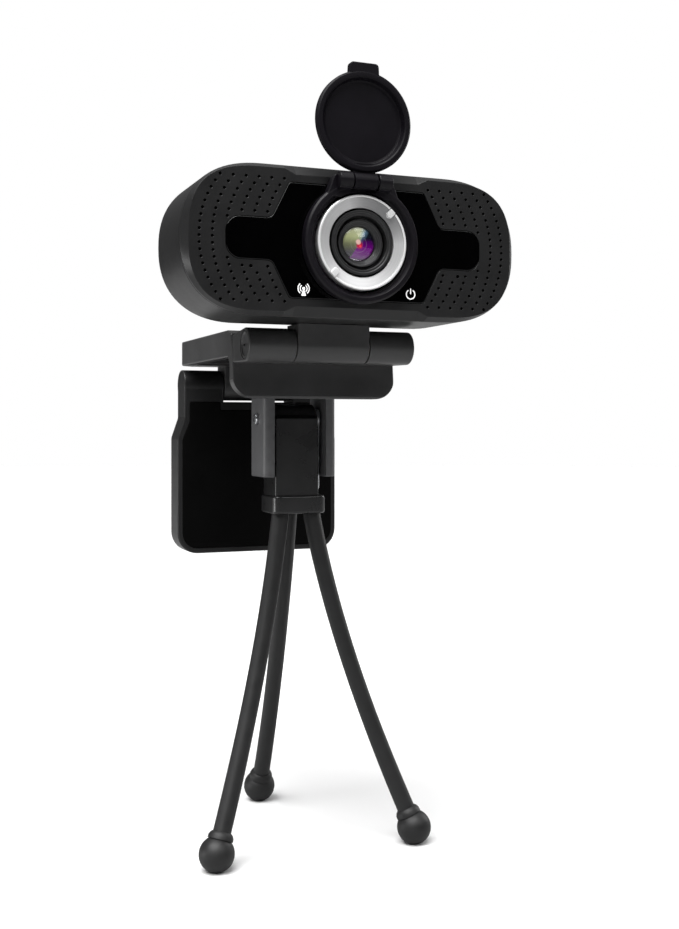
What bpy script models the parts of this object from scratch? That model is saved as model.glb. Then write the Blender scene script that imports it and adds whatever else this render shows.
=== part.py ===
"""Webcam with a flip-up privacy cover, on its folding monitor clip and a mini tripod.

The webcam faces -Y, X is the mirror direction and the feet stand on z = 0. Lengths
below are in millimetres and are scaled to metres as each mesh is made.
"""

import math

import bmesh
import bpy
from mathutils import Matrix, Vector

MM = 0.001
SIDES = ((-1, "left"), (1, "right"))

# ---------------------------------------------------------------- driving sizes
FACE_Y = -39.975           # front face of the camera head
HEAD_Z = 153.4            # mid height of the camera head
HALF_W = 42.5             # half width of the head
HALF_H = 17.6             # half height of the head
HEAD_D = 28.0             # depth of the head
END_A = 19.5              # length of the rounded end of the outline
END_POWER = 2.35          # squareness of the rounded end
FACE_POWER = 2.8          # squareness of the flat face's end
WALL = 2.0                # housing wall
STEP_IN = 15.6            # the face steps in between these widths
STEP_OUT = 18.2
STEP_H = 1.25

RING_R = 14.35            # privacy cover base ring
FLAP_R = 11.9             # privacy cover flap
FLIP_Y = -4.0             # cover hinge, in the head frame
FLIP_Z = 14.0

BARREL_R = 4.2            # front hinge barrel
BARREL_HW = 22.0
KNUCKLE_HW = 9.5          # middle knuckle, on the head's neck
AXIS_V = 19.5             # front hinge axis behind the face
AXIS_W = -23.0            # front hinge axis below mid head
CLIP_HW = 22.2            # half width of the clip's plate and lip
PLATE_TOP = 4.6           # heights from the front hinge axis
PLATE_UNDER = -2.4
PLATE_REAR = 66.0
LIP_LOW = -12.9
REAR_V = 62.0             # rear hinge, from the front hinge axis
REAR_W = -8.0
REAR_R = 4.4
LEG_HW = 24.4
LEG_DROP = 49.0
LEG_T = 4.2               # half thickness of the clip's leg

PAN_V = 27.0              # tripod screw axis, from the front hinge axis
TILT_Z = 112.4            # tripod tilt axis
BLOCK_LOW = 87.0
SOCKET_DROP = 0.6         # leg pivot below the block
SLEEVE_R = 2.35
CORE_R = 1.0
FOOT_R = 4.5
FOOT_Z = 4.2

HEAD = (0.0, FACE_Y, HEAD_Z)
AXIS = (0.0, FACE_Y + AXIS_V, HEAD_Z + AXIS_W)
REAR = (0.0, AXIS[1] + REAR_V, AXIS[2] + REAR_W)
PAN = (0.0, AXIS[1] + PAN_V, 0.0)
TILT = (0.0, PAN[1], TILT_Z)

LEGS = {
    "left": ((-4.5, PAN[1] - 2.6), (-27.0, PAN[1] - 20.0)),
    "right": ((4.5, PAN[1] - 2.6), (27.0, PAN[1] - 20.0)),
    "rear": ((0.0, PAN[1] + 3.6), (0.0, PAN[1] + 30.0)),
}

# ---------------------------------------------------------------- scene
for old in list(bpy.data.objects):
    bpy.data.objects.remove(old, do_unlink=True)
for old in list(bpy.data.collections):
    bpy.data.collections.remove(old)

PARTS = bpy.data.collections.new("Webcam_on_tripod")
CUTTERS = bpy.data.collections.new("Cutters")
for group in (PARTS, CUTTERS):
    bpy.context.scene.collection.children.link(group)
CUTTERS.hide_render = True


def material(name, rgb, rough, metal=0.0, glass=0.0):
    mat = bpy.data.materials.new(name)
    mat.use_nodes = True
    shader = mat.node_tree.nodes["Principled BSDF"]
    shader.inputs["Base Color"].default_value = (*rgb, 1.0)
    shader.inputs["Roughness"].default_value = rough
    shader.inputs["Metallic"].default_value = metal
    shader.inputs["Transmission Weight"].default_value = glass
    mat.diffuse_color = (*rgb, 1.0)
    return mat


# ---------------------------------------------------------------- mesh helpers
def add_object(name, mesh, mat):
    """A piece with its material; without a material it is a cutter."""
    work = bmesh.new()
    work.from_mesh(mesh)
    bmesh.ops.remove_doubles(work, verts=work.verts, dist=1e-7)
    bmesh.ops.recalc_face_normals(work, faces=work.faces)
    if work.calc_volume(signed=True) < 0.0:
        bmesh.ops.reverse_faces(work, faces=work.faces)
    work.to_mesh(mesh)
    work.free()
    obj = bpy.data.objects.new(name, mesh)
    if mat is None:
        CUTTERS.objects.link(obj)
        obj.hide_render = True
        obj.display_type = "WIRE"
    else:
        mesh.materials.append(mat)
        PARTS.objects.link(obj)
    return obj


def settle(name, source, mat, at):
    """Turns a working object in millimetres into a finished mesh in metres."""
    bpy.context.scene.collection.objects.link(source)
    bpy.context.view_layer.update()
    graph = bpy.context.evaluated_depsgraph_get()
    mesh = bpy.data.meshes.new_from_object(source.evaluated_get(graph))
    mesh.name = name
    matrix = source.matrix_world.copy()
    bpy.data.objects.remove(source, do_unlink=True)
    for vert in mesh.vertices:
        place_at = matrix @ vert.co
        vert.co = [(round(place_at[i], 5) + at[i]) * MM for i in range(3)]
    return add_object(name, mesh, mat)


def from_bmesh(name, work, mat, at):
    mesh = bpy.data.meshes.new(name)
    work.to_mesh(mesh)
    work.free()
    return settle(name, bpy.data.objects.new(name, mesh), mat, at)


def loft(name, rings, mat, at=(0.0, 0.0, 0.0), loop=False):
    """Skins rings of equal count, then caps both ends or joins them in a loop."""
    count = len(rings[0])
    verts = [p for ring in rings for p in ring]
    faces = []
    for k in range(len(rings) - (0 if loop else 1)):
        low, high = k * count, (k + 1) % len(rings) * count
        for i in range(count):
            j = (i + 1) % count
            faces.append((low + i, low + j, high + j, high + i))
    if not loop:
        faces.append(tuple(range(count)))
        faces.append(tuple(len(verts) - count + i for i in range(count)))
    mesh = bpy.data.meshes.new(name)
    mesh.from_pydata([[(p[i] + at[i]) * MM for i in range(3)] for p in verts], [], faces)
    return add_object(name, mesh, mat)


def place(axis, u, v, along):
    """A 2D point (u, v) at a distance along the named axis."""
    if axis == "X":
        return (along, u, v)
    if axis == "Y":
        return (u, along, v)
    return (u, v, along)


def inset(points, distance):
    """The outline moved inwards by a distance, with mitred corners."""
    area = sum(a[0] * b[1] - b[0] * a[1] for a, b in zip(points, points[1:] + points[:1]))
    turn = 1.0 if area > 0 else -1.0
    moved = []
    for i, here in enumerate(points):
        before = Vector(points[i - 1])
        after = Vector(points[(i + 1) % len(points)])
        first = (Vector(here) - before).normalized()
        second = (after - Vector(here)).normalized()
        n1 = Vector((-first.y, first.x)) * turn
        n2 = Vector((-second.y, second.x)) * turn
        mitre = (n1 + n2) / max(0.4, 1.0 + n1.dot(n2))
        moved.append(tuple(Vector(here) + mitre * distance))
    return moved


# Turns that lay the XY plane and its Z across the named axis.
LAY = {
    "X": Matrix(((0, 0, 1), (1, 0, 0), (0, 1, 0))).to_4x4(),
    "Y": Matrix(((1, 0, 0), (0, 0, 1), (0, 1, 0))).to_4x4(),
    "Z": Matrix.Identity(4),
}


def prism(name, outline, axis, low, high, mat, at=(0.0, 0.0, 0.0), edge=0.0):
    """An outline extruded along an axis, its end edges broken by edge millimetres."""
    if edge:
        small = inset(outline, edge)
        stack = [(small, low), (outline, low + edge), (outline, high - edge), (small, high)]
        return loft(name, [[place(axis, *p, y) for p in ring] for ring, y in stack], mat, at)
    work = bmesh.new()
    base = work.faces.new([work.verts.new(place(axis, *p, low)) for p in outline])
    grown = bmesh.ops.extrude_face_region(work, geom=[base], use_keep_orig=True)["geom"]
    raised = [item for item in grown if isinstance(item, bmesh.types.BMVert)]
    bmesh.ops.translate(work, verts=raised, vec=place(axis, 0.0, 0.0, high - low))
    return from_bmesh(name, work, mat, at)


def lathe(name, profile, axis, mat, at=(0.0, 0.0, 0.0), steps=40):
    """A closed (radius, along) profile turned round an axis through at."""
    work = bmesh.new()
    half = math.pi / steps
    points = [
        work.verts.new(place(axis, r * math.cos(half), r * math.sin(half), along))
        for r, along in profile
    ]
    for i, point in enumerate(points):
        if max(profile[i - 1][0], profile[i][0]) > 1e-6:
            work.edges.new((points[i - 1], point))
    mesh = bpy.data.meshes.new(name)
    work.to_mesh(mesh)
    work.free()
    source = bpy.data.objects.new(name, mesh)
    screw = source.modifiers.new("Turned", "SCREW")
    screw.axis = axis
    screw.steps = screw.render_steps = steps
    screw.use_merge_vertices = True
    screw.merge_threshold = 0.0001
    return settle(name, source, mat, at)


def rod(name, radius, axis, low, high, mat, at=(0.0, 0.0, 0.0), steps=32, edge=0.0):
    """A cylinder with an optional broken edge at both ends."""
    if edge:
        profile = [
            (0.0, low), (radius - edge, low), (radius, low + edge),
            (radius, high - edge), (radius - edge, high), (0.0, high),
        ]
        return lathe(name, profile, axis, mat, at, steps)
    work = bmesh.new()
    middle = Matrix.Translation((0.0, 0.0, (low + high) / 2))
    bmesh.ops.create_cone(
        work, cap_ends=True, segments=steps, radius1=radius, radius2=radius, depth=high - low,
        matrix=LAY[axis] @ middle @ Matrix.Rotation(math.pi / steps, 4, "Z"),
    )
    return from_bmesh(name, work, mat, at)


def rect(hu, hv, radius=0.0, seg=4, cu=0.0, cv=0.0):
    """A rectangle outline with rounded corners."""
    if radius <= 0.0:
        return [(cu - hu, cv - hv), (cu + hu, cv - hv), (cu + hu, cv + hv), (cu - hu, cv + hv)]
    points = []
    for k, (su, sv) in enumerate(((1, -1), (1, 1), (-1, 1), (-1, -1))):
        for i in range(seg + 1):
            angle = math.radians(-90 + 90 * k + 90 * i / seg)
            points.append((
                cu + su * (hu - radius) + radius * math.cos(angle),
                cv + sv * (hv - radius) + radius * math.sin(angle),
            ))
    return points


def arc(cu, cv, radius, start, end, seg):
    """Points on an arc, degrees counted from +u towards +v."""
    angles = [math.radians(start + (end - start) * i / seg) for i in range(seg + 1)]
    return [(cu + radius * math.cos(a), cv + radius * math.sin(a)) for a in angles]


def box(name, x, y, z, mat, at=(0.0, 0.0, 0.0), radius=0.0, edge=0.0, axis="Z"):
    """A box from three (low, high) pairs, with rounded upright corners along axis."""
    spans = {"X": (y, z, x), "Y": (x, z, y), "Z": (x, y, z)}[axis]
    (u0, u1), (v0, v1), (low, high) = spans
    if not radius and not edge:
        work = bmesh.new()
        middle = Matrix.Translation([(a + b) / 2 for a, b in (x, y, z)])
        size = Matrix.Diagonal([b - a for a, b in (x, y, z)] + [1.0])
        bmesh.ops.create_cube(work, size=1.0, matrix=middle @ size)
        return from_bmesh(name, work, mat, at)
    shape = rect((u1 - u0) / 2, (v1 - v0) / 2, radius, 2, (u0 + u1) / 2, (v0 + v1) / 2)
    return prism(name, shape, axis, low, high, mat, at, edge)


def boolean(obj, other, operation="DIFFERENCE"):
    step = obj.modifiers.new(other.name, "BOOLEAN")
    step.solver = "EXACT"
    step.operation = operation
    step.object = other


def cut(obj, *others):
    for other in others:
        boolean(obj, other)


def join(obj, *others):
    for other in others:
        boolean(obj, other, "UNION")


def cable(name, path, radius, mat, seg):
    """A round solid along a path: a bevelled curve with filled caps."""
    curve = bpy.data.curves.new(name, "CURVE")
    curve.dimensions = "3D"
    curve.bevel_depth = radius
    curve.bevel_resolution = seg // 2 - 2
    curve.use_fill_caps = True
    spline = curve.splines.new("POLY")
    spline.points.add(len(path) - 1)
    for point, spot in zip(spline.points, path):
        point.co = (*spot, 1.0)
    return settle(name, bpy.data.objects.new(name, curve), mat, (0.0, 0.0, 0.0))


def hollow_tube(name, path, radius, bore, mat, seg=10):
    """A tube along a path of millimetre points, with a rounded start and a bore."""
    tangents = []
    for i in range(len(path)):
        tangents.append((path[min(len(path) - 1, i + 1)] - path[max(0, i - 1)]).normalized())
    side = tangents[0].orthogonal().normalized()
    frames = []
    for point, tangent in zip(path, tangents):
        side = (side - tangent * side.dot(tangent)).normalized()
        frames.append((point, tangent, side, tangent.cross(side)))

    def ring(frame, r, shift=0.0):
        point, tangent, u, v = frame
        base = point + tangent * shift
        turns = [2.0 * math.pi * k / seg for k in range(seg)]
        return [tuple(base + (u * math.cos(t) + v * math.sin(t)) * r) for t in turns]

    dome = [math.radians(a) for a in (66, 44, 22)]
    outer = [ring(frames[0], radius * math.cos(a), -radius * math.sin(a)) for a in dome]
    outer += [ring(f, radius) for f in frames]
    inner = [ring(frames[0], bore, -radius * math.sin(dome[0]))] + [ring(f, bore) for f in frames]
    return loft(name, outer + inner[::-1], mat, loop=True)


def bezier(p0, p1, p2, p3, count):
    points = []
    for i in range(count + 1):
        t = i / count
        s = 1.0 - t
        points.append(p0 * s**3 + p1 * (3 * s * s * t) + p2 * (3 * s * t * t) + p3 * t**3)
    return points


def pivot(name, location, children):
    """An empty on a joint axis that carries its pieces."""
    empty = bpy.data.objects.new(name, None)
    empty.empty_display_size = 0.008
    empty.location = Vector(location) * MM
    PARTS.objects.link(empty)
    inverse = Matrix.Translation(Vector(location) * MM).inverted()
    for child in children:
        child.parent = empty
        child.matrix_parent_inverse = inverse
    return empty


# ---------------------------------------------------------------- materials
BODY = material("Black_satin_plastic", (0.018, 0.018, 0.019), 0.38)
PANEL = material("Black_gloss_panel", (0.002, 0.002, 0.002), 0.06)
COVER = material("Cover_black_plastic", (0.012, 0.011, 0.014), 0.45)
SILVER = material("Silver_focus_ring", (0.62, 0.62, 0.64), 0.30, 1.0)
BARREL = material("Lens_barrel_black", (0.03, 0.03, 0.03), 0.45)
GLASS = material("Lens_glass", (0.9, 0.9, 1.0), 0.02, 0.0, 1.0)
STEEL = material("Steel", (0.55, 0.56, 0.58), 0.28, 1.0)
BRASS = material("Brass", (0.72, 0.52, 0.24), 0.30, 1.0)
BOARD = material("Circuit_board", (0.01, 0.09, 0.04), 0.5)
CHIP = material("Chip_black", (0.02, 0.02, 0.022), 0.5)
FILTER = material("Filter_glass", (0.5, 0.75, 0.75), 0.05, 0.0, 0.8)
RUBBER = material("Black_rubber", (0.009, 0.009, 0.009), 0.6)
FOAM = material("Adhesive_foam", (0.03, 0.03, 0.03), 0.8)
CLEAR = material("Light_guide_clear", (0.9, 0.92, 0.95), 0.15, 0.0, 0.8)
WASHER = material("Washer_polymer", (0.75, 0.75, 0.72), 0.5)
YOKE = material("Yoke_dark_grey", (0.055, 0.055, 0.057), 0.45)
BLOCK = material("Tripod_block_black", (0.008, 0.008, 0.008), 0.3)


# ---------------------------------------------------------------- camera head
def outline(cut_x, cut_z, step=0.0, seg=6):
    """The head's front outline, moved in by cut_x and cut_z, with the face's step."""
    hw, hh, a = HALF_W - cut_x, HALF_H - cut_z, END_A - cut_x
    power = FACE_POWER if step else END_POWER
    points = []

    def end(sign, start):
        for k in range(2 * seg + 1):
            angle = math.radians(start + 180.0 * k / (2 * seg))
            c, s = math.cos(angle), math.sin(angle)
            x = math.copysign(abs(c) ** (2 / power), c) * a
            z = math.copysign(abs(s) ** (2 / power), s) * hh
            points.append((sign * (hw - a) + x, z))

    end(1, -90.0)
    for x in (STEP_OUT, STEP_IN, -STEP_IN, -STEP_OUT):
        points.append((x, hh - (step if abs(x) == STEP_IN else 0.0)))
    end(-1, 90.0)
    for x in (-STEP_OUT, -STEP_IN, STEP_IN, STEP_OUT):
        points.append((x, -hh + (step if abs(x) == STEP_IN else 0.0)))
    return points


def head_ring(y, cut_x, cut_z=None, step=0.0):
    cut_z = cut_x if cut_z is None else cut_z
    return [(x, y, z) for x, z in outline(cut_x, cut_z, step)]


PANEL_SHAPE = []
for sx, sz in ((1, 1), (-1, 1), (-1, -1), (1, -1)):
    corner = [
        (32.3, 0.8), (32.1, 2.6), (31.4, 4.2), (30.2, 4.9), (22.6, 4.9), (21.5, 5.2),
        (20.7, 6.0), (17.3, 12.7), (16.9, 13.2), (16.2, 13.4),
    ]
    part = [(sx * x, sz * z) for x, z in corner]
    PANEL_SHAPE += part if sx * sz > 0 else part[::-1]

SCREWS = [(sx * 31.0, sz * 8.0) for sx in (-1, 1) for sz in (-1, 1)]
ICONS = [(sx * 13.65, -11.3) for sx, _ in SIDES]
MICS = [(sx * 26.4, -6.4) for sx, _ in SIDES]

front = loft(
    "front_housing",
    [
        head_ring(0.0, 1.6, 1.1, STEP_H), head_ring(1.9, 0.0), head_ring(2.5, 0.0),
        head_ring(2.5, 2.2), head_ring(4.6, 2.2), head_ring(4.6, 3.3), head_ring(2.4, 3.3),
    ],
    BODY, HEAD,
)
cut(
    front,
    prism("cut_panel_pocket", inset(PANEL_SHAPE, -0.12), "Y", -1.0, 1.55, None, HEAD),
    rod("cut_lens_opening", 12.0, "Y", -2.0, 6.0, None, HEAD, 32),
)
for n, (x, z) in enumerate(SCREWS):
    at = (x, HEAD[1], HEAD[2] + z)
    join(front, rod(f"add_front_boss_{n}", 2.9, "Y", 2.2, 9.8, None, at, 10))
    cut(front, rod(f"cut_front_boss_{n}", 1.2, "Y", 3.6, 11.0, None, at, 8))
for n, (x, z) in enumerate(MICS):
    cut(front, rod(f"cut_mic_{n}", 0.5, "Y", -1.0, 3.0, None, (x, HEAD[1], HEAD[2] + z), 12))
for n, (x, z) in enumerate(ICONS):
    cut(front, rod(f"cut_guide_{n}", 1.3, "Y", 1.0, 3.0, None, (x, HEAD[1], HEAD[2] + z), 16))

back_rings = [head_ring(25.4, 5.4), head_ring(24.4, 3.2), head_ring(22.6, 2.2), head_ring(20.5, WALL)]
back_rings += [head_ring(2.8, WALL), head_ring(2.8, 0.0), head_ring(22.4, 0.0)]
for angle in (22.5, 45, 67.5, 90):
    t = math.radians(angle)
    back_rings.append(head_ring(22.4 + 5.6 * math.sin(t), 5.6 * (1.0 - math.cos(t))))
rear = loft("rear_housing", back_rings, BODY, HEAD)
for n, (x, z) in enumerate(SCREWS):
    at = (x, HEAD[1], HEAD[2] + z)
    join(rear, rod(f"add_rear_boss_{n}", 3.2, "Y", 10.0, 26.0, None, at, 10))
    cut(rear, rod(f"cut_rear_boss_{n}", 1.4, "Y", 9.0, 27.0, None, at, 8))
    cut(rear, rod(f"cut_rear_bore_{n}", 2.6, "Y", 26.2, 29.0, None, at, 12))
PORT_Z = -7.0
cut(
    rear,
    prism("cut_port", rect(4.65, 1.8, 1.75, 5), "Y", 24.0, 30.0, None, (0, HEAD[1], HEAD[2] + PORT_Z)),
    box("cut_neck_slot", (-6.1, 6.1), (16.9, 22.1), (-19.0, -14.0), None, HEAD, 0.6),
)
for n in range(5):
    x = (n - 2) * 4.6
    slot = rect(0.7, 2.6, 0.68, 2, x, 7.6)
    cut(rear, prism(f"cut_vent_{n}", slot, "Y", 24.0, 30.0, None, HEAD))

panel = prism("front_panel", PANEL_SHAPE, "Y", -0.05, 1.4, PANEL, HEAD, 0.15)
cut(panel, rod("cut_panel_hole", 11.75, "Y", -2.0, 4.0, None, HEAD, 36))

adhesive = lathe(
    "cover_adhesive", [(12.1, -0.4), (14.0, -0.4), (14.0, -0.1), (12.1, -0.1)], "Y", FOAM, HEAD, 28
)
# The sticker ring lies across the panel and the narrow housing edge above and below it.
base = lathe(
    "cover_base_ring",
    [
        (11.7, -0.45), (RING_R, -0.45), (RING_R, -2.9), (13.9, -3.4), (12.9, -3.4),
        (12.2, -2.3), (11.7, -2.0),
    ],
    "Y", COVER, HEAD, 40,
)
shoulder = [(-9.2, 10.2), (9.2, 10.2), (7.2, 15.2), (6.8, 15.5), (-6.8, 15.5), (-7.2, 15.2)]
join(base, prism("add_cover_block", shoulder, "Y", -3.35, -0.45, None, HEAD))
for side, word in SIDES:
    low, high = sorted((side * 3.25, side * 6.6))
    knuckle = arc(FLIP_Y, FLIP_Z, 2.0, 90, 270, 7) + [(-1.2, 12.0), (-1.2, 15.45), (-3.0, 15.9)]
    join(base, prism(f"add_cover_knuckle_{word}", knuckle, "X", low, high, None, HEAD, 0.2))
cut(
    base,
    box("cut_cover_gap", (-3.2, 3.2), (-7.0, -1.35), (11.6, 17.0), None, HEAD),
    rod("cut_cover_opening", 11.66, "Y", -8.0, 1.0, None, HEAD, 40),
    rod("cut_cover_pin_seat", 0.62, "X", -6.2, 6.2, None, (0, HEAD[1] + FLIP_Y, HEAD[2] + FLIP_Z), 20),
)
flip_at = (0.0, HEAD[1] + FLIP_Y, HEAD[2] + FLIP_Z)
cover_pin = rod("cover_hinge_pin", 0.55, "X", -6.0, 6.0, STEEL, flip_at, 20)

# The flap stands open: its inner side, with the rim, faces forward.
flap_at = (0.0, HEAD[1] + FLIP_Y, HEAD[2] + 2.0 * FLIP_Z)
flap = lathe(
    "cover_flap",
    [
        (0.0, 1.2), (0.0, 2.2), (11.2, 2.0), (FLAP_R, 1.3), (FLAP_R, 0.1),
        (11.6, -0.3), (10.4, -0.3), (9.9, 1.1),
    ],
    "Y", COVER, flap_at, 40,
)
tab = [(-3.9, 10.9), (3.9, 10.9), (3.7, 13.2), (3.2, 13.9), (-3.2, 13.9), (-3.7, 13.2)]
neck = [(-2.9, -13.9), (2.9, -13.9), (2.9, -9.6), (-2.9, -9.6)]
hub = arc(0.0, 0.0, 1.85, 0, 330, 13)
join(
    flap,
    prism("add_flap_tab", tab, "Y", -0.2, 1.8, None, flap_at, 0.25),
    prism("add_flap_neck", neck, "Y", 0.15, 1.75, None, flap_at),
    prism("add_flap_hub", hub, "X", -2.95, 2.95, None, flip_at),
)
cut(flap, rod("cut_flap_pin", 0.62, "X", -4.0, 4.0, None, flip_at, 20))

guides = [
    rod(f"light_guide_{word}", 1.2, "Y", 1.6, 7.0, CLEAR, (x, HEAD[1], HEAD[2] + z), 16)
    for (x, z), (_, word) in zip(ICONS, SIDES)
]
mics = [
    rod(f"microphone_{word}", 1.6, "Y", 2.7, 4.4, STEEL, (x, HEAD[1], HEAD[2] + z), 20, 0.2)
    for (x, z), (_, word) in zip(MICS, SIDES)
]

board = box("main_circuit_board", (-25.0, 25.0), (14.0, 15.6), (-12.0, 12.0), BOARD, HEAD, 1.5, 0.0, "Y")
join(
    board,
    box("add_chip_a", (-21.0, -12.5), (15.3, 16.8), (-4.0, 4.5), None, HEAD),
    box("add_chip_b", (11.5, 17.5), (15.3, 16.6), (1.5, 7.5), None, HEAD),
    box("add_chip_c", (19.0, 23.0), (13.0, 14.3), (-8.0, -4.0), None, HEAD),
    box("add_chip_d", (-22.0, -16.0), (12.8, 14.3), (4.0, 8.0), None, HEAD),
)
sensor = box("image_sensor", (-4.0, 4.0), (12.6, 13.9), (-3.6, 3.6), CHIP, HEAD, 0.0, 0.2, "Y")
filter_glass = box("infrared_filter", (-3.4, 3.4), (12.1, 12.5), (-3.0, 3.0), FILTER, HEAD)
holder = box("lens_holder", (-8.5, 8.5), (9.8, 13.9), (-8.5, 8.5), BARREL, HEAD, 1.2, 0.3, "Y")
join(holder, rod("add_holder_tube", 7.8, "Y", 3.6, 10.4, None, HEAD, 24))
cut(
    holder,
    rod("cut_holder_thread", 6.2, "Y", 2.0, 15.0, None, HEAD, 24),
)

# A socket for a detachable lead, in the middle of the back.
port_at = (0.0, HEAD[1], HEAD[2] + PORT_Z)
port = prism("usb_port", rect(4.5, 1.65, 1.62, 5), "Y", 20.5, 27.9, STEEL, port_at)
cut(port, prism("cut_port_inside", rect(4.15, 1.3, 1.28, 5), "Y", 21.2, 29.0, None, port_at))
join(port, box("add_port_tongue", (-3.3, 3.3), (20.9, 27.0), (-0.35, 0.35), None, port_at))
port_board = box(
    "port_board", (-7.0, 7.0), (16.9, 25.2), (PORT_Z - 2.95, PORT_Z - 1.75), BOARD, HEAD
)
join(port_board, box("add_port_header", (-4.0, 4.0), (15.7, 18.0), (PORT_Z - 2.9, PORT_Z + 0.5), None, HEAD))

screws = []
for n, (x, z) in enumerate(SCREWS):
    profile = [
        (0.0, 5.0), (1.05, 5.0), (1.05, 26.35), (2.35, 26.35), (2.35, 27.1),
        (0.9, 27.5), (0.9, 26.9), (0.0, 26.9),
    ]
    at = (x, HEAD[1], HEAD[2] + z)
    screws.append(lathe(f"housing_screw_{n + 1}", profile, "Y", STEEL, at, 12))

knuckle_shape = [(-4.2, 0.0), (-4.2, 5.25), (4.2, 5.25), (4.2, 0.0)] + arc(0, 0, BARREL_R, 0, -180, 14)[1:-1]
neck_piece = prism("neck_knuckle", knuckle_shape, "X", -KNUCKLE_HW, KNUCKLE_HW, BODY, AXIS, 0.15)
join(neck_piece, box("add_neck_tenon", (-6.0, 6.0), (17.0, 22.0), (-18.2, -14.6), None, HEAD, 0.6))
cut(neck_piece, rod("cut_neck_bore", 1.58, "X", -12.0, 12.0, None, AXIS, 20))

# ---------------------------------------------------------------- lens and focus ring
ring = lathe(
    "focus_ring",
    [
        (8.15, -2.35), (10.2, -2.75), (10.35, -3.05), (10.95, -3.1), (11.2, -2.85),
        (11.2, 1.8), (9.0, 1.8), (9.0, 0.4), (8.15, 0.4),
    ],
    "Y", SILVER, HEAD, 40,
)
for n, angle in enumerate((45.0, 226.0)):
    turn = Matrix.Rotation(math.radians(-angle), 3, "Y")
    nub = [(8.9, 0.35), (9.3, 0.75), (10.9, 0.85), (11.1, 0.6), (11.1, -0.6), (10.9, -0.85)]
    nub += [(9.3, -0.75), (8.9, -0.35)]
    rings = []
    for y, small in ((-3.25, 0.25), (-3.05, 0.0), (-2.2, 0.0)):
        rings.append([tuple(turn @ Vector((u, y, v))) for u, v in inset(nub, small)])
    join(ring, loft(f"add_ring_nub_{n}", rings, None, HEAD))

barrel = lathe(
    "lens_barrel",
    [
        (6.4, -2.6), (7.75, -2.6), (8.05, -2.3), (8.05, 2.6), (6.1, 2.6), (6.1, 10.6),
        (3.6, 10.6), (3.6, 7.6), (3.2, 7.6), (3.2, 1.2), (4.05, 1.2), (4.05, -0.75),
        (5.6, -1.6), (6.0, -0.9),
    ],
    "Y", BARREL, HEAD, 28,
)
front_glass = lathe(
    "lens_front_element",
    [(0.0, -1.75), (1.6, -1.6), (3.0, -1.2), (3.95, -0.7), (3.95, 1.1), (0.0, 0.4)],
    "Y", GLASS, HEAD, 24,
)
rear_glass = lathe(
    "lens_rear_element",
    [(0.0, 8.0), (2.0, 8.2), (3.5, 8.7), (3.5, 10.0), (0.0, 10.5)],
    "Y", GLASS, HEAD, 20,
)

# ---------------------------------------------------------------- monitor clip
section = [
    (PLATE_REAR, PLATE_UNDER + 0.6), (PLATE_REAR, PLATE_TOP - 1.2), (PLATE_REAR - 1.2, PLATE_TOP),
    (14.6, PLATE_TOP), (12.6, 4.2), (11.2, 3.3), (10.3, 1.8), (9.9, -1.5), (9.7, -5.0),
    (9.4, -8.5), (8.8, -12.2), (9.1, LIP_LOW), (11.9, LIP_LOW), (12.5, -12.3), (12.6, -4.6),
    (13.0, -3.2), (14.2, PLATE_UNDER), (PLATE_REAR - 0.6, PLATE_UNDER),
]
clip = prism("clip_base", section, "X", -CLIP_HW, CLIP_HW, BODY, AXIS, 0.5)
web = arc(0.0, 0.0, BARREL_R, 83, 270, 15) + [(10.6, -4.2), (10.8, 3.1)]
join(
    clip,
    prism("add_clip_barrel", web, "X", -BARREL_HW, BARREL_HW, None, AXIS, 0.5),
    prism(
        "add_rear_knuckle",
        [(REAR_V - 4.4, PLATE_UNDER + 1.0), (REAR_V + 3.6, PLATE_UNDER + 1.0)]
        + arc(REAR_V, REAR_W, REAR_R, 0, -180, 14),
        "X", -10.3, 10.3, None, AXIS, 0.2,
    ),
)
for side, word in SIDES:
    r = 5.6
    low = [(side * (CLIP_HW + 1), LIP_LOW - 1), (side * (CLIP_HW + 1), LIP_LOW + r)]
    start, end = (0, -90) if side > 0 else (180, 270)
    low += arc(side * (CLIP_HW - r), LIP_LOW + r, r, start, end, 8) + [(side * (CLIP_HW - r), LIP_LOW - 1)]
    cut(clip, prism(f"cut_lip_corner_{word}", low, "Y", 4.0, 13.5, None, AXIS))
    c = 4.5
    corner = [
        (side * (CLIP_HW - c), PLATE_REAR + 1), (side * (CLIP_HW + 1), PLATE_REAR + 1),
        (side * (CLIP_HW + 1), PLATE_REAR - c), (side * CLIP_HW, PLATE_REAR - c),
        (side * (CLIP_HW - c), PLATE_REAR),
    ]
    cut(clip, prism(f"cut_plate_corner_{word}", corner, "Z", PLATE_UNDER - 1, PLATE_TOP + 1, None, AXIS))
channel = [(6.3, -0.4), (6.3, 9.0), (-6.0, 9.0), (-6.0, 0.0)]
channel += arc(0.0, 0.0, BARREL_R + 0.4, 180, 355, 14)
cut(
    clip,
    prism("cut_channel", channel, "X", -9.8, 9.8, None, AXIS),
    lathe(
        "cut_front_bore",
        [
            (0.0, -23.0), (3.55, -23.0), (3.55, -20.8), (1.52, -20.8), (1.52, -10.5), (3.5, -10.5),
            (3.5, 10.5), (1.52, 10.5), (1.52, 20.8), (3.55, 20.8), (3.55, 23.0), (0.0, 23.0),
        ],
        "X", None, AXIS, 20,
    ),
    rod("cut_rear_bore", 1.58, "X", -12.0, 12.0, None, REAR, 20),
)
pocket = box("cut_underside", (-19.8, 19.8), (15.4, 56.2), (PLATE_UNDER - 1, 2.3), None, AXIS, 1.5)
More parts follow.
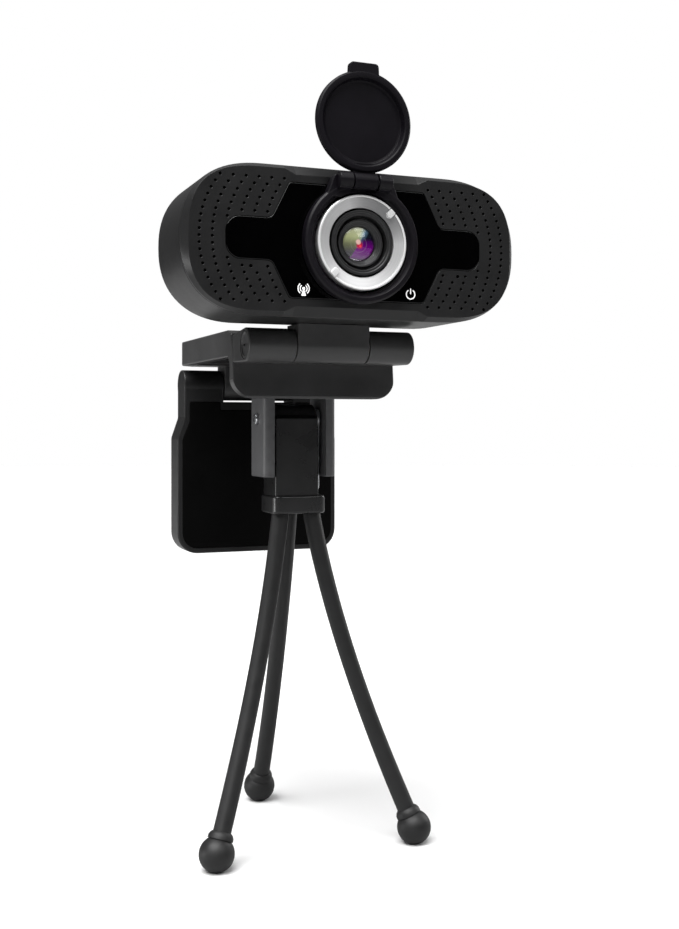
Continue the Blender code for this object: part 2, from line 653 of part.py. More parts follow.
cut(
    pocket,
    rod("keep_boss", 9.2, "Z", PLATE_UNDER - 2, 3.0, None, (0, AXIS[1] + PAN_V, AXIS[2]), 24),
    box("keep_rib_across", (-21.0, 21.0), (PAN_V - 0.8, PAN_V + 0.8), (-4.0, 3.0), None, AXIS),
    box("keep_rib_along", (-0.8, 0.8), (14.0, 58.0), (-4.0, 3.0), None, AXIS),
    box("keep_rib_back", (-21.0, 21.0), (44.2, 45.8), (-4.0, 3.0), None, AXIS),
)
cut(
    clip,
    pocket,
    rod("cut_nut_seat", 5.1, "Z", PLATE_UNDER - 1, 3.1, None, (0, AXIS[1] + PAN_V, AXIS[2]), 24),
)

NUT_Z = AXIS[2] + PLATE_UNDER
nut = lathe(
    "tripod_nut",
    [(3.26, 0.15), (5.0, 0.15), (5.0, 5.2), (3.26, 5.2)],
    "Z", BRASS, (0, PAN[1], NUT_Z), 24,
)
front_pin = rod("front_hinge_pin", 1.45, "X", -20.6, 20.6, STEEL, AXIS, 20, 0.2)
caps = []
washers = []
for side, word in SIDES:
    low, high = sorted((side * 20.9, side * 21.95))
    caps.append(rod(f"hinge_cap_{word}", 3.45, "X", low, high, BODY, AXIS, 20, 0.15))
    low, high = sorted((side * 9.6, side * 10.4))
    ringed = [(1.6, low), (3.4, low), (3.4, high), (1.6, high)]
    washers.append(lathe(f"friction_washer_{word}", ringed, "X", WASHER, AXIS, 20))
lip_pad = box("lip_pad", (-17.0, 17.0), (12.66, 13.5), (-11.4, -5.4), RUBBER, AXIS, 1.5, 0.15, "Y")
rear_pin = rod("rear_hinge_pin", 1.5, "X", -19.0, 19.0, STEEL, REAR, 20, 0.2)

leg_outline = []
for x, z in (
    (10.6, -4.9), (10.7, 0.0), (22.4, 0.0), (22.4, -9.0), (22.6, -10.2), (23.2, -11.4),
    (23.9, -12.7), (24.3, -14.0), (LEG_HW, -15.4), (LEG_HW, 6.0 - LEG_DROP),
):
    leg_outline.append((x, z))
leg_outline += arc(LEG_HW - 6.0, 6.0 - LEG_DROP, 6.0, 0, -90, 5)[1:]
leg_outline = leg_outline + [(-x, z) for x, z in leg_outline[::-1]]
leg = prism("clip_leg", leg_outline, "Y", -LEG_T, LEG_T, BODY, REAR, 0.5)
for side, word in SIDES:
    low, high = sorted((side * 10.6, side * 22.4))
    join(leg, rod(f"add_leg_knuckle_{word}", REAR_R, "X", low, high, None, REAR, 24, 0.3))
pad_outline = [
    (11.6, -4.9), (20.8, -4.9), (20.8, -9.6), (21.1, -10.8), (21.8, -12.2), (22.5, -13.4),
    (22.8, -14.6), (22.9, -15.8), (22.9, 6.0 - LEG_DROP),
]
pad_outline += arc(LEG_HW - 6.0, 6.0 - LEG_DROP, 4.5, 0, -90, 5)[1:]
pad_outline = [(11.6, -7.3)] + pad_outline
pad_outline = pad_outline + [(-x, z) for x, z in pad_outline[::-1]]
cut(
    leg,
    prism("cut_pad_recess", inset(pad_outline, -0.08), "Y", -LEG_T - 1, -LEG_T + 0.9, None, REAR),
    rod("cut_leg_bore", 1.6, "X", -19.3, 19.3, None, REAR, 20),
)
for row, (z0, z1) in enumerate(((-25.4, -10.0), (-45.0, -26.8))):
    for col, (x0, x1) in enumerate(((-21.6, -8.2), (-6.8, 6.8), (8.2, 21.6))):
        name = f"cut_leg_pocket_{row}{col}"
        cut(leg, box(name, (x0, x1), (-1.2, LEG_T + 1), (z0, z1), None, REAR, 1.2, 0.0, "Y"))
leg_pad = prism("leg_pad", pad_outline, "Y", -LEG_T - 0.05, -LEG_T + 0.82, RUBBER, REAR, 0.15)

# ---------------------------------------------------------------- tripod head
yoke = box("tripod_yoke", (-10.2, 10.2), (-6.4, 6.4), (96.8, 126.2), YOKE, PAN, 1.6, 0.4)
cut(
    yoke,
    box("cut_yoke_slot", (-7.2, 7.2), (-9.0, 9.0), (90.0, 122.5), None, PAN),
    rod("cut_yoke_screw", 3.28, "Z", 120.0, 128.0, None, PAN, 24),
    rod("cut_yoke_pin", 1.53, "X", -12.0, 12.0, None, TILT, 18),
)
mount_pad = lathe(
    "mount_pad", [(3.7, 126.3), (8.4, 126.3), (8.6, 126.5), (8.6, 127.9), (3.7, 127.9)],
    "Z", RUBBER, PAN, 24,
)
tilt_pin = rod("tilt_pin", 1.48, "X", -10.9, 10.9, STEEL, TILT, 18, 0.2)
screw = lathe(
    "mount_screw",
    [(0.0, 119.2), (3.17, 119.2), (3.17, 132.2), (2.7, 132.9), (0.0, 132.9)],
    "Z", STEEL, PAN, 24,
)
wheel_shape = []
for k in range(36):
    r = 6.9 if k % 2 == 0 else 6.5
    angle = 2.0 * math.pi * k / 36
    wheel_shape.append((r * math.cos(angle), r * math.sin(angle)))
wheel = prism("thumb_wheel", wheel_shape, "Z", 118.4, 122.2, BODY, PAN, 0.35)
cut(wheel, rod("cut_wheel_bore", 3.22, "Z", 119.1, 124.0, None, PAN, 24))

block_shape = [(-5.2, 0.0)] + arc(0.0, 0.0, 4.0, 165, 15, 10) + [(5.2, 0.0), (5.4, -20.9), (-5.4, -20.9)]
block = prism("tripod_block", block_shape, "X", -6.7, 5.5, BLOCK, TILT, 0.4)
join(block, box("add_block_foot", (-7.4, 7.4), (-6.6, 6.6), (BLOCK_LOW, 91.8), None, PAN, 2.2, 0.5))
cut(block, rod("cut_block_pin", 1.57, "X", -8.0, 8.0, None, TILT, 18))

lever_shape = arc(0.0, 0.0, 3.1, -38, 218, 12) + [(-2.0, -15.0)] + arc(0.0, -17.4, 2.3, 200, 340, 6) + [(2.0, -15.0)]
lever = prism("lock_lever", lever_shape, "X", 5.85, 6.95, STEEL, TILT, 0.2)
cut(lever, rod("cut_lever_pin", 1.57, "X", 4.0, 9.0, None, TILT, 18))

# ---------------------------------------------------------------- tripod legs
leg_groups = {}
for word, (top, foot) in LEGS.items():
    start = Vector((*top, BLOCK_LOW - SOCKET_DROP))
    end = Vector((*foot, FOOT_Z))
    out = Vector((end.x - start.x, end.y - start.y, 0.0)).normalized()
    reach = (end - start).length / 3.0
    first = start + (out * math.sin(math.radians(11)) - Vector((0, 0, math.cos(math.radians(11))))) * reach
    slope = math.radians(25)
    last = end - (out * math.sin(slope) - Vector((0, 0, math.cos(slope)))) * reach
    path = bezier(start, first, last, end, 8)
    direction = (path[-1] - path[-2]).normalized()
    path[-1] = end - direction * 2.2
    tube = hollow_tube(f"leg_sleeve_{word}", path, SLEEVE_R, CORE_R + 0.12, RUBBER)
    core_path = path[:-1] + [end - direction * 2.25]
    core = cable(f"leg_core_{word}", core_path, CORE_R, STEEL, 10)
    ball = [(0.0, -FOOT_Z)]
    for k in range(8):
        angle = math.radians(-69 + (90 + 69) * k / 7)
        ball.append((FOOT_R * math.cos(angle), FOOT_R * math.sin(angle)))
    ball[1] = (1.62, -FOOT_Z)
    ball[-1] = (0.0, FOOT_R)
    foot_obj = lathe(f"ball_foot_{word}", ball, "Z", RUBBER, tuple(end), 18)
    bore_low = end - direction * 2.1
    bore = cable(f"cut_foot_bore_{word}", [bore_low, end - direction * 9.0], SLEEVE_R + 0.1, None, 10)
    cut(foot_obj, bore)
    socket = lathe(
        f"cut_socket_{word}",
        [(0.0, 2.5), (0.9, 2.33), (1.7, 1.83), (2.26, 1.07), (2.5, 0.0), (2.7, -1.6), (0.0, -1.6)],
        "Z", None, tuple(start), 16,
    )
    cut(block, socket)
    leg_groups[word] = (start, [tube, core, foot_obj])

# ---------------------------------------------------------------- joint pivots
pivot("axis_head_tilt", AXIS, [
    front, rear, panel, adhesive, base, cover_pin, *guides, *mics, board, sensor, filter_glass,
    holder, port, port_board, *screws, neck_piece,
])
pivot("axis_cover_flip", flip_at, [flap])
pivot("axis_focus", HEAD, [ring, barrel, front_glass, rear_glass])
pivot("axis_pan", (0.0, PAN[1], NUT_Z), [clip, nut, front_pin, *caps, *washers, lip_pad, rear_pin])
pivot("axis_clip_leg", REAR, [leg, leg_pad])
pivot("axis_tripod_tilt", TILT, [yoke, mount_pad, tilt_pin])
pivot("axis_mount_screw", (0.0, PAN[1], 120.0), [screw, wheel])
pivot("axis_lock_lever", TILT, [lever])
for word, (start, pieces) in leg_groups.items():
    pivot(f"axis_leg_{word}", tuple(start), pieces)
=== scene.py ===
"""A webcam on its monitor clip and mini tripod: the looks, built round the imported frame.

Shapes are written in millimetres and scaled to metres as each mesh is made. X is the
mirror direction, the camera head faces -Y and the feet stand on z = 0.
"""

import math

import bmesh
import bpy
import numpy as np
from mathutils import Matrix, Vector
from mathutils.geometry import delaunay_2d_cdt


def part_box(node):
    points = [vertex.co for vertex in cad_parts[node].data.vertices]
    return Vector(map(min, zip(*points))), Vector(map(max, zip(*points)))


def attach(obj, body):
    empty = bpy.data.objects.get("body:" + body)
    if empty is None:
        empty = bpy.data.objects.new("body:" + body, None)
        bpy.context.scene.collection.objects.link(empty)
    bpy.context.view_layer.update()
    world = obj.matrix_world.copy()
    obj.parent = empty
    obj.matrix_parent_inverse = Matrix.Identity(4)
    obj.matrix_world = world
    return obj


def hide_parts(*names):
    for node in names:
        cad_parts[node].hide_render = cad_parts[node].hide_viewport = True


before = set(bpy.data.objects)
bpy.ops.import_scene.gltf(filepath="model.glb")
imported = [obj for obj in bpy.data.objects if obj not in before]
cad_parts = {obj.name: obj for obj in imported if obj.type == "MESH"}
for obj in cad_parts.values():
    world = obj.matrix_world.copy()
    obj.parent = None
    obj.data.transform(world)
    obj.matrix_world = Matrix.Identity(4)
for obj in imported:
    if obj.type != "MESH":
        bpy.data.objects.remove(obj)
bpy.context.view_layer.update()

MM = 0.001
SIDES = ((-1, "left"), (1, "right"))


def middle(node):
    """The centre of a CAD node's box, in millimetres."""
    low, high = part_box(node)
    return tuple((low[i] + high[i]) / 2 / MM for i in range(3))


def low_mm(node):
    return [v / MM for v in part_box(node)[0]]


def high_mm(node):
    return [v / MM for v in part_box(node)[1]]


# ---------------------------------------------------------------- places from the frame
HALF_W = high_mm("front_housing")[0]
HALF_H = (high_mm("front_housing")[2] - low_mm("front_housing")[2]) / 2
HEAD = (0.0, low_mm("front_housing")[1], middle("front_housing")[2])
HEAD_D = high_mm("rear_housing")[1] - HEAD[1]
END_A = 19.5
END_POWER = 2.35
FACE_POWER = 2.8
STEP_IN, STEP_OUT, STEP_H = 15.6, 18.2, 1.25
AXIS = middle("front_hinge_pin")
REAR = middle("rear_hinge_pin")
TILT = middle("tilt_pin")
PAN = (0.0, middle("mount_screw")[1], 0.0)
FLIP = middle("cover_hinge_pin")
FLAP = (0.0, FLIP[1], 2 * FLIP[2] - HEAD[2])
CLIP_HW = high_mm("clip_base")[0]
LEG_HW = high_mm("clip_leg")[0]
LEG_LOW = low_mm("clip_leg")[2] - REAR[2]


SCREWS = [(sx * 31.0, sz * 8.0) for sx in (-1, 1) for sz in (-1, 1)]
PORT_Z = -7.0


# ---------------------------------------------------------------- 2D helpers
def fillet(points, radius, seg=5, closed=True):
    """Rounds the corners of a polyline with one radius, or one for each corner."""
    count, out = len(points), []
    for i, point in enumerate(points):
        r = radius[i] if isinstance(radius, (list, tuple)) else radius
        if r <= 0 or (not closed and i in (0, count - 1)):
            out.append(tuple(point))
            continue
        here = Vector(point)
        a = Vector(points[i - 1]) - here
        b = Vector(points[(i + 1) % count]) - here
        la, lb = a.length, b.length
        a.normalize()
        b.normalize()
        angle = math.acos(max(-1.0, min(1.0, a.dot(b))))
        if angle > math.pi - 0.02:
            out.append(tuple(point))
            continue
        cut = min(r / math.tan(angle / 2), 0.49 * la, 0.49 * lb)
        r = cut * math.tan(angle / 2)
        centre = here + (a + b).normalized() * (r / math.sin(angle / 2))
        v0, v1 = here + a * cut - centre, here + b * cut - centre
        swing = math.atan2(v0.x * v1.y - v0.y * v1.x, v0.dot(v1))
        for k in range(seg + 1):
            t = swing * k / seg
            c, s = math.cos(t), math.sin(t)
            out.append((centre.x + v0.x * c - v0.y * s, centre.y + v0.x * s + v0.y * c))
    return out


def inset(points, distance):
    """A closed outline moved inwards by a distance, with mitred corners."""
    area = sum(a[0] * b[1] - b[0] * a[1] for a, b in zip(points, points[1:] + points[:1]))
    turn = 1.0 if area > 0 else -1.0
    moved = []
    for i, here in enumerate(points):
        before, after = Vector(points[i - 1]), Vector(points[(i + 1) % len(points)])
        first = (Vector(here) - before).normalized()
        second = (after - Vector(here)).normalized()
        n1 = Vector((-first.y, first.x)) * turn
        n2 = Vector((-second.y, second.x)) * turn
        mitre = (n1 + n2) / max(0.4, 1.0 + n1.dot(n2))
        moved.append(tuple(Vector(here) + mitre * distance))
    return moved


def arc(cu, cv, radius, start, end, seg):
    """Points on an arc, degrees counted from +u towards +v."""
    angles = [math.radians(start + (end - start) * i / seg) for i in range(seg + 1)]
    return [(cu + radius * math.cos(a), cv + radius * math.sin(a)) for a in angles]


def circle(cu, cv, radius, seg):
    return arc(cu, cv, radius, 0, 360, seg)[:-1]


def rect(hu, hv, radius=0.0, seg=6, cu=0.0, cv=0.0):
    corners = [(cu - hu, cv - hv), (cu + hu, cv - hv), (cu + hu, cv + hv), (cu - hu, cv + hv)]
    return fillet(corners, radius, seg) if radius > 0 else corners


def place(axis, u, v, along):
    return {"X": (along, u, v), "Y": (u, along, v), "Z": (u, v, along)}[axis]


def fill(loops):
    """Triangles of the region inside the first loop and outside the others."""
    points = [p for loop in loops for p in loop]
    edges, base = [], 0
    for loop in loops:
        edges += [(base + i, base + (i + 1) % len(loop)) for i in range(len(loop))]
        base += len(loop)
    verts, _, faces, *_ = delaunay_2d_cdt([Vector(p) for p in points], edges, [], 0, 1e-6)
    spots = np.array([[sum(verts[i][k] for i in f) / 3 for k in (0, 1)] for f in faces])
    start = np.array([points[a] for a, _ in edges])
    stop = np.array([points[b] for _, b in edges])
    inside = np.zeros(len(spots), int)
    for a, b in zip(start, stop):
        over = (a[1] > spots[:, 1]) != (b[1] > spots[:, 1])
        if a[1] == b[1]:
            continue
        at = a[0] + (spots[:, 1] - a[1]) * (b[0] - a[0]) / (b[1] - a[1])
        inside += over & (spots[:, 0] < at)
    return [tuple(v) for v in verts], [f for f, n in zip(faces, inside) if n % 2]


# ---------------------------------------------------------------- mesh helpers
def build(name, verts, faces, mat=None, at=(0.0, 0.0, 0.0)):
    """An object from millimetre points, its faces pointing out."""
    mesh = bpy.data.meshes.new(name)
    mesh.from_pydata([[(p[i] + at[i]) * MM for i in range(3)] for p in verts], [], faces)
    work = bmesh.new()
    work.from_mesh(mesh)
    bmesh.ops.remove_doubles(work, verts=work.verts, dist=4e-7)
    bmesh.ops.recalc_face_normals(work, faces=work.faces)
    if work.calc_volume(signed=True) < 0.0:
        bmesh.ops.reverse_faces(work, faces=work.faces)
    work.to_mesh(mesh)
    work.free()
    obj = bpy.data.objects.new(name, mesh)
    bpy.context.scene.collection.objects.link(obj)
    if mat:
        mesh.materials.append(mat)
    return obj


class Shell:
    """Collects rings and filled regions into one mesh."""

    def __init__(self):
        self.verts, self.faces = [], []

    def skin(self, rings):
        """Joins each ring to the next one."""
        count = len(rings[0])
        base = len(self.verts)
        self.verts += [p for ring in rings for p in ring]
        for k in range(len(rings) - 1):
            a, b = base + k * count, base + (k + 1) * count
            for i in range(count):
                j = (i + 1) % count
                self.faces.append((a + i, a + j, b + j, b + i))

    def cap(self, axis, along, loops):
        """Closes a flat region; one loop makes one face, holes make triangles."""
        base = len(self.verts)
        if len(loops) == 1:
            self.verts += [place(axis, u, v, along) for u, v in loops[0]]
            self.faces.append(tuple(range(base, len(self.verts))))
            return
        points, faces = fill(loops)
        self.verts += [place(axis, u, v, along) for u, v in points]
        self.faces += [tuple(base + i for i in f) for f in faces]

    def tower(self, rings):
        """Skins (outline, y) rings along Y and caps both ends."""
        self.skin([[place("Y", u, v, y) for u, v in loop] for loop, y in rings])
        for loop, y in (rings[0], rings[-1]):
            self.cap("Y", y, [loop])

    def make(self, name, mat=None, at=(0.0, 0.0, 0.0)):
        return build(name, self.verts, self.faces, mat, at)


def quarter(edge, seg):
    """(inset, depth) steps of a rounded edge, from the end face to the side."""
    if edge <= 0:
        return [(0.0, 0.0)]
    turns = [math.radians(90.0 * k / seg) for k in range(seg + 1)]
    return [(edge * (1 - math.sin(t)), edge * (1 - math.cos(t))) for t in turns]


def slab(name, outline, axis, low, high, mat=None, at=(0.0, 0.0, 0.0), edge=0.0, holes=(),
         hole_edge=0.0, seg=3, low_edge=None):
    """An outline extruded along an axis, with rounded end edges and through holes."""
    shell = Shell()
    ends = []
    for k, loop in enumerate([outline, *holes]):
        soft = edge if k == 0 else hole_edge
        first = soft if low_edge is None or k else low_edge
        sign = 1.0 if k == 0 else -1.0
        bottom = [(inset(loop, sign * d) if d else loop, low + h) for d, h in quarter(first, seg)]
        top = [(inset(loop, sign * d) if d else loop, high - h) for d, h in quarter(soft, seg)]
        stack = bottom + top[::-1]
        shell.skin([[place(axis, u, v, y) for u, v in ring] for ring, y in stack])
        ends.append((bottom[0][0], top[0][0]))
    shell.cap(axis, low, [e[0] for e in ends])
    shell.cap(axis, high, [e[1] for e in ends])
    return shell.make(name, mat, at)


def turn(name, profile, axis, mat=None, at=(0.0, 0.0, 0.0), steps=96):
    """A closed (radius, along) profile turned round an axis through at."""
    verts, faces, index = [], [], []
    for radius, along in profile:
        if radius < 1e-6:
            index.append([len(verts)] * steps)
            verts.append(place(axis, 0.0, 0.0, along))
            continue
        index.append(list(range(len(verts), len(verts) + steps)))
        for k in range(steps):
            t = 2.0 * math.pi * (k + 0.5) / steps
            verts.append(place(axis, radius * math.cos(t), radius * math.sin(t), along))
    for i in range(len(profile)):
        j = (i + 1) % len(profile)
        if profile[i][0] < 1e-6 and profile[j][0] < 1e-6:
            continue
        for k in range(steps):
            n = (k + 1) % steps
            ring = [index[i][k], index[i][n], index[j][n], index[j][k]]
            face = [v for m, v in enumerate(ring) if v != ring[m - 1]]
            if len(face) > 2:
                faces.append(face)
    return build(name, verts, faces, mat, at)


def rod(name, radius, axis, low, high, mat=None, at=(0.0, 0.0, 0.0), steps=64, edge=0.0, seg=4):
    """A cylinder with rounded end edges."""
    side = [(radius - d, low + h) for d, h in quarter(edge, seg)]
    side += [(radius - d, high - h) for d, h in quarter(edge, seg)[::-1]]
    return turn(name, [(0.0, low), *side, (0.0, high)], axis, mat, at, steps)


def applied(obj):
    """Bakes an object's modifiers into its mesh."""
    graph = bpy.context.evaluated_depsgraph_get()
    mesh = bpy.data.meshes.new_from_object(obj.evaluated_get(graph))
    obj.modifiers.clear()
    obj.data = mesh
    return obj


def combine(obj, others, operation):
    """Adds or cuts others, which are used up."""
    for other in others:
        step = obj.modifiers.new(other.name, "BOOLEAN")
        step.solver = "EXACT"
        step.operation = operation
        step.object = other
    bpy.context.view_layer.update()
    applied(obj)
    for other in others:
        bpy.data.objects.remove(other, do_unlink=True)
    return obj


def cut(obj, *others):
    return combine(obj, others, "DIFFERENCE")


def join(obj, *others):
    return combine(obj, others, "UNION")


def soften(obj, width, angle=38.0, seg=2):
    """Rounds the sharp edges of a joined or cut mesh."""
    work = bmesh.new()
    work.from_mesh(obj.data)
    bmesh.ops.remove_doubles(work, verts=work.verts, dist=2e-6)
    bmesh.ops.dissolve_limit(
        work, angle_limit=math.radians(0.6), verts=work.verts, edges=work.edges
    )
    work.to_mesh(obj.data)
    work.free()
    step = obj.modifiers.new("soft edges", "BEVEL")
    step.width = width * MM
    step.segments = seg
    step.limit_method = "ANGLE"
    step.angle_limit = math.radians(angle)
    step.use_clamp_overlap = True
    return applied(obj)


def sweep(name, path, radii, mat=None, seg=28):
    """A round solid along a path, with a radius for each point."""
    tangents = []
    for i in range(len(path)):
        a, b = path[max(0, i - 1)], path[min(len(path) - 1, i + 1)]
        tangents.append((b - a).normalized())
    side = tangents[0].orthogonal().normalized()
    rings = []
    for point, tangent, radius in zip(path, tangents, radii):
        side = (side - tangent * side.dot(tangent)).normalized()
        other = tangent.cross(side)
        turns = [2.0 * math.pi * k / seg for k in range(seg)]
        rings.append([tuple(point + (side * math.cos(t) + other * math.sin(t)) * radius) for t in turns])
    shell = Shell()
    shell.skin(rings)
    for end in (0, len(rings) - 1):
        shell.faces.append(tuple(end * seg + k for k in range(seg)))
    return shell.make(name, mat)


def smooth(obj, angle=34.0, flat=False):
    """Smooth shading, with edges over the angle kept sharp; flat also parts off faces square to Y."""
    mesh = obj.data
    mesh.shade_smooth()
    mesh.set_sharp_from_angle(angle=math.radians(angle))
    if flat:
        level = [abs(face.normal.y) > 0.999999 for face in mesh.polygons]
        beside = {}
        for face in mesh.polygons:
            for key in face.edge_keys:
                beside.setdefault(key, []).append(level[face.index])
        for edge in mesh.edges:
            if len(set(beside[edge.key])) > 1:
                edge.use_edge_sharp = True
    step = obj.modifiers.new("normals", "WEIGHTED_NORMAL")
    step.keep_sharp = True
    return obj


def finish_piece(obj, body, *nodes, angle=34.0, flat=False):
    """Shades a piece, puts it on its body and lets it stand for CAD nodes."""
    smooth(obj, angle, flat)
    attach(obj, body)
    if nodes:
        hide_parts(*nodes)
    return obj


# ---------------------------------------------------------------- materials
def add(tree, kind, inputs=None, **settings):
    node = tree.nodes.new("ShaderNode" + kind)
    for key, value in settings.items():
        setattr(node, key, value)
    for key, value in (inputs or {}).items():
        if isinstance(value, bpy.types.NodeSocket):
            tree.links.new(value, node.inputs[key])
        else:
            node.inputs[key].default_value = value
    return node


def blank(name, rgb, rough, metal=0.0, **sockets):
    """A material with its shader and the object coordinates, ready for a pattern."""
    mat = bpy.data.materials.new(name)
    mat.use_nodes = True
    tree = mat.node_tree
    shader = tree.nodes["Principled BSDF"]
    shader.inputs["Base Color"].default_value = (*rgb, 1.0)
    shader.inputs["Roughness"].default_value = rough
    shader.inputs["Metallic"].default_value = metal
    for key, value in sockets.items():
        shader.inputs[key.replace("_", " ")].default_value = value
    mat.diffuse_color = (*rgb, 1.0)
    return mat, tree, shader, add(tree, "TexCoord").outputs["Object"]


def ramp(tree, value, stops):
    node = add(tree, "ValToRGB", {"Fac": value})
    bar = node.color_ramp
    while len(bar.elements) < len(stops):
        bar.elements.new(0.5)
    for element, (at, colour) in zip(bar.elements, stops):
        element.position = at
        element.color = (*colour, 1.0)
    return node.outputs["Color"]


def spread(tree, value, low, high):
    return add(tree, "MapRange", {"Value": value, 3: low, 4: high}).outputs[0]


def surface(name, rgb, rough, metal=0.0, grain=7000.0, lift=0.006, mottle=0.1, blotch=150.0,
            vary=0.05, scratch=0.0, **sockets):
    """Moulded or machined stock: fine grain in the bump, slow changes in colour and gloss."""
    mat, tree, shader, where = blank(name, rgb, rough, metal, **sockets)
    broad = add(tree, "TexNoise", {"Vector": where, "Scale": blotch, "Detail": 5.0}).outputs[0]
    fine = add(tree, "TexNoise", {"Vector": where, "Scale": grain, "Detail": 3.0}).outputs[0]
    dark = tuple(c * (1 - mottle) for c in rgb)
    pale = tuple(min(1.0, c * (1 + mottle)) for c in rgb)
    tree.links.new(ramp(tree, broad, [(0.3, dark), (0.7, pale)]), shader.inputs["Base Color"])
    gloss = add(tree, "MapRange", {"Value": broad, 1: 0.3, 2: 0.7, 3: rough - vary, 4: rough + vary})
    out = gloss.outputs[0]
    if scratch:
        stretch = add(tree, "VectorMath", {0: where, 1: (900.0, 900.0, 70.0)}, operation="MULTIPLY")
        lines = add(tree, "TexNoise", {"Vector": stretch.outputs[0], "Scale": 3.0, "Detail": 2.0})
        marks = add(tree, "MapRange", {"Value": lines.outputs[0], 1: 0.62, 2: 0.72, 3: 0.0, 4: scratch})
        out = add(tree, "Math", {0: out, 1: marks.outputs[0]}, operation="ADD").outputs[0]
    tree.links.new(out, shader.inputs["Roughness"])
    bump = add(tree, "Bump", {"Height": fine, "Strength": 0.6, "Distance": lift * MM})
    tree.links.new(bump.outputs[0], shader.inputs["Normal"])
    return mat


SATIN = surface(
    "Satin_black_plastic", (0.0125, 0.0125, 0.0129), 0.37, lift=0.010, mottle=0.10, vary=0.03,
    Specular_IOR_Level=0.33,
)
# Near-black painted shade for the insides of the dimples and microphone holes.
DIMPLE_SHADE_MAT = surface(
    "Dimple_painted_shade", (0.0015, 0.0015, 0.0015), 0.7, lift=0.0, mottle=0.2, Specular_IOR_Level=0.1,
)
# A lighter copy of the satin black for the clip moulding, its knuckles and caps: painted light standing for
# brighter lighting on the same plastic.
CLIP_SATIN_PAINTED_LIGHT = surface(
    "Clip_satin_plastic_painted_lighter", (0.044, 0.044, 0.0445), 0.38, lift=0.009, mottle=0.10, vary=0.03,
    Specular_IOR_Level=0.42,
)
GLOSS = surface(
    "Gloss_black_panel", (0.0008, 0.0008, 0.0009), 0.055, lift=0.0006, mottle=0.3, vary=0.018,
    blotch=90.0, grain=3000.0, Specular_IOR_Level=0.3,
)
COVER_MAT = surface(
    "Cover_plastic", (0.0040, 0.0031, 0.0052), 0.44, lift=0.008, mottle=0.18, Specular_IOR_Level=0.2,
)
FLAP_MAT = surface(
    "Flap_plastic", (0.0030, 0.0021, 0.0042), 0.5, lift=0.010, mottle=0.2, Specular_IOR_Level=0.14,
)
BARREL_MAT = surface("Lens_barrel_black", (0.028, 0.028, 0.029), 0.42, lift=0.004, mottle=0.12)
RUBBER_MAT = surface("Black_rubber", (0.0075, 0.0075, 0.0078), 0.52, lift=0.02, mottle=0.2, blotch=300.0)
PAD_MAT = surface(
    "Black_pad", (0.0008, 0.0008, 0.0008), 0.55, lift=0.012, mottle=0.3, Specular_IOR_Level=0.08,
)
STEEL_MAT = surface("Steel", (0.56, 0.57, 0.59), 0.27, 1.0, lift=0.003, mottle=0.06, scratch=0.12)
BRASS_MAT = surface("Brass", (0.70, 0.50, 0.22), 0.28, 1.0, lift=0.003, mottle=0.08, scratch=0.1)
YOKE_MAT = surface("Yoke_grey_paint", (0.085, 0.085, 0.088), 0.45, lift=0.02, mottle=0.12, blotch=500.0)
BLOCK_MAT = surface("Block_black_plastic", (0.009, 0.009, 0.0095), 0.3, lift=0.006, mottle=0.2)
FOAM_MAT = surface("Adhesive_foam", (0.03, 0.03, 0.03), 0.85, lift=0.05, mottle=0.3, grain=4000.0)
WASHER_MAT = surface("Washer_polymer", (0.72, 0.72, 0.69), 0.5, lift=0.008, mottle=0.05)
CHIP_MAT = surface("Chip_black", (0.02, 0.02, 0.022), 0.5, lift=0.01, mottle=0.2, blotch=700.0)
# White print that also glows, though it is no lamp: a painted glow.
GLOWING_INK = surface("White_ink_painted_glow", (0.92, 0.92, 0.92), 0.5, lift=0.004, mottle=0.02, Emission_Strength=0.55)
GLOWING_INK.node_tree.nodes["Principled BSDF"].inputs["Emission Color"].default_value = (1.0, 1.0, 1.0, 1.0)
GOLD = surface("Gold_contacts", (0.83, 0.62, 0.28), 0.25, 1.0, lift=0.002, mottle=0.06)


def polar(tree, where, centre):
    """(radius, angle, x, z, y) about the Y axis through a centre, in metres and radians."""
    moved = add(tree, "VectorMath", {0: where, 1: [-c * MM for c in centre]}, operation="ADD")
    part = add(tree, "SeparateXYZ", {0: moved.outputs[0]})
    x, z = part.outputs[0], part.outputs[2]
    flat = add(tree, "CombineXYZ", {0: x, 1: 0.0, 2: z})
    radius = add(tree, "VectorMath", {0: flat.outputs[0]}, operation="LENGTH").outputs["Value"]
    angle = add(tree, "Math", {0: z, 1: x}, operation="ARCTAN2").outputs[0]
    return radius, angle, x, z, part.outputs[1]


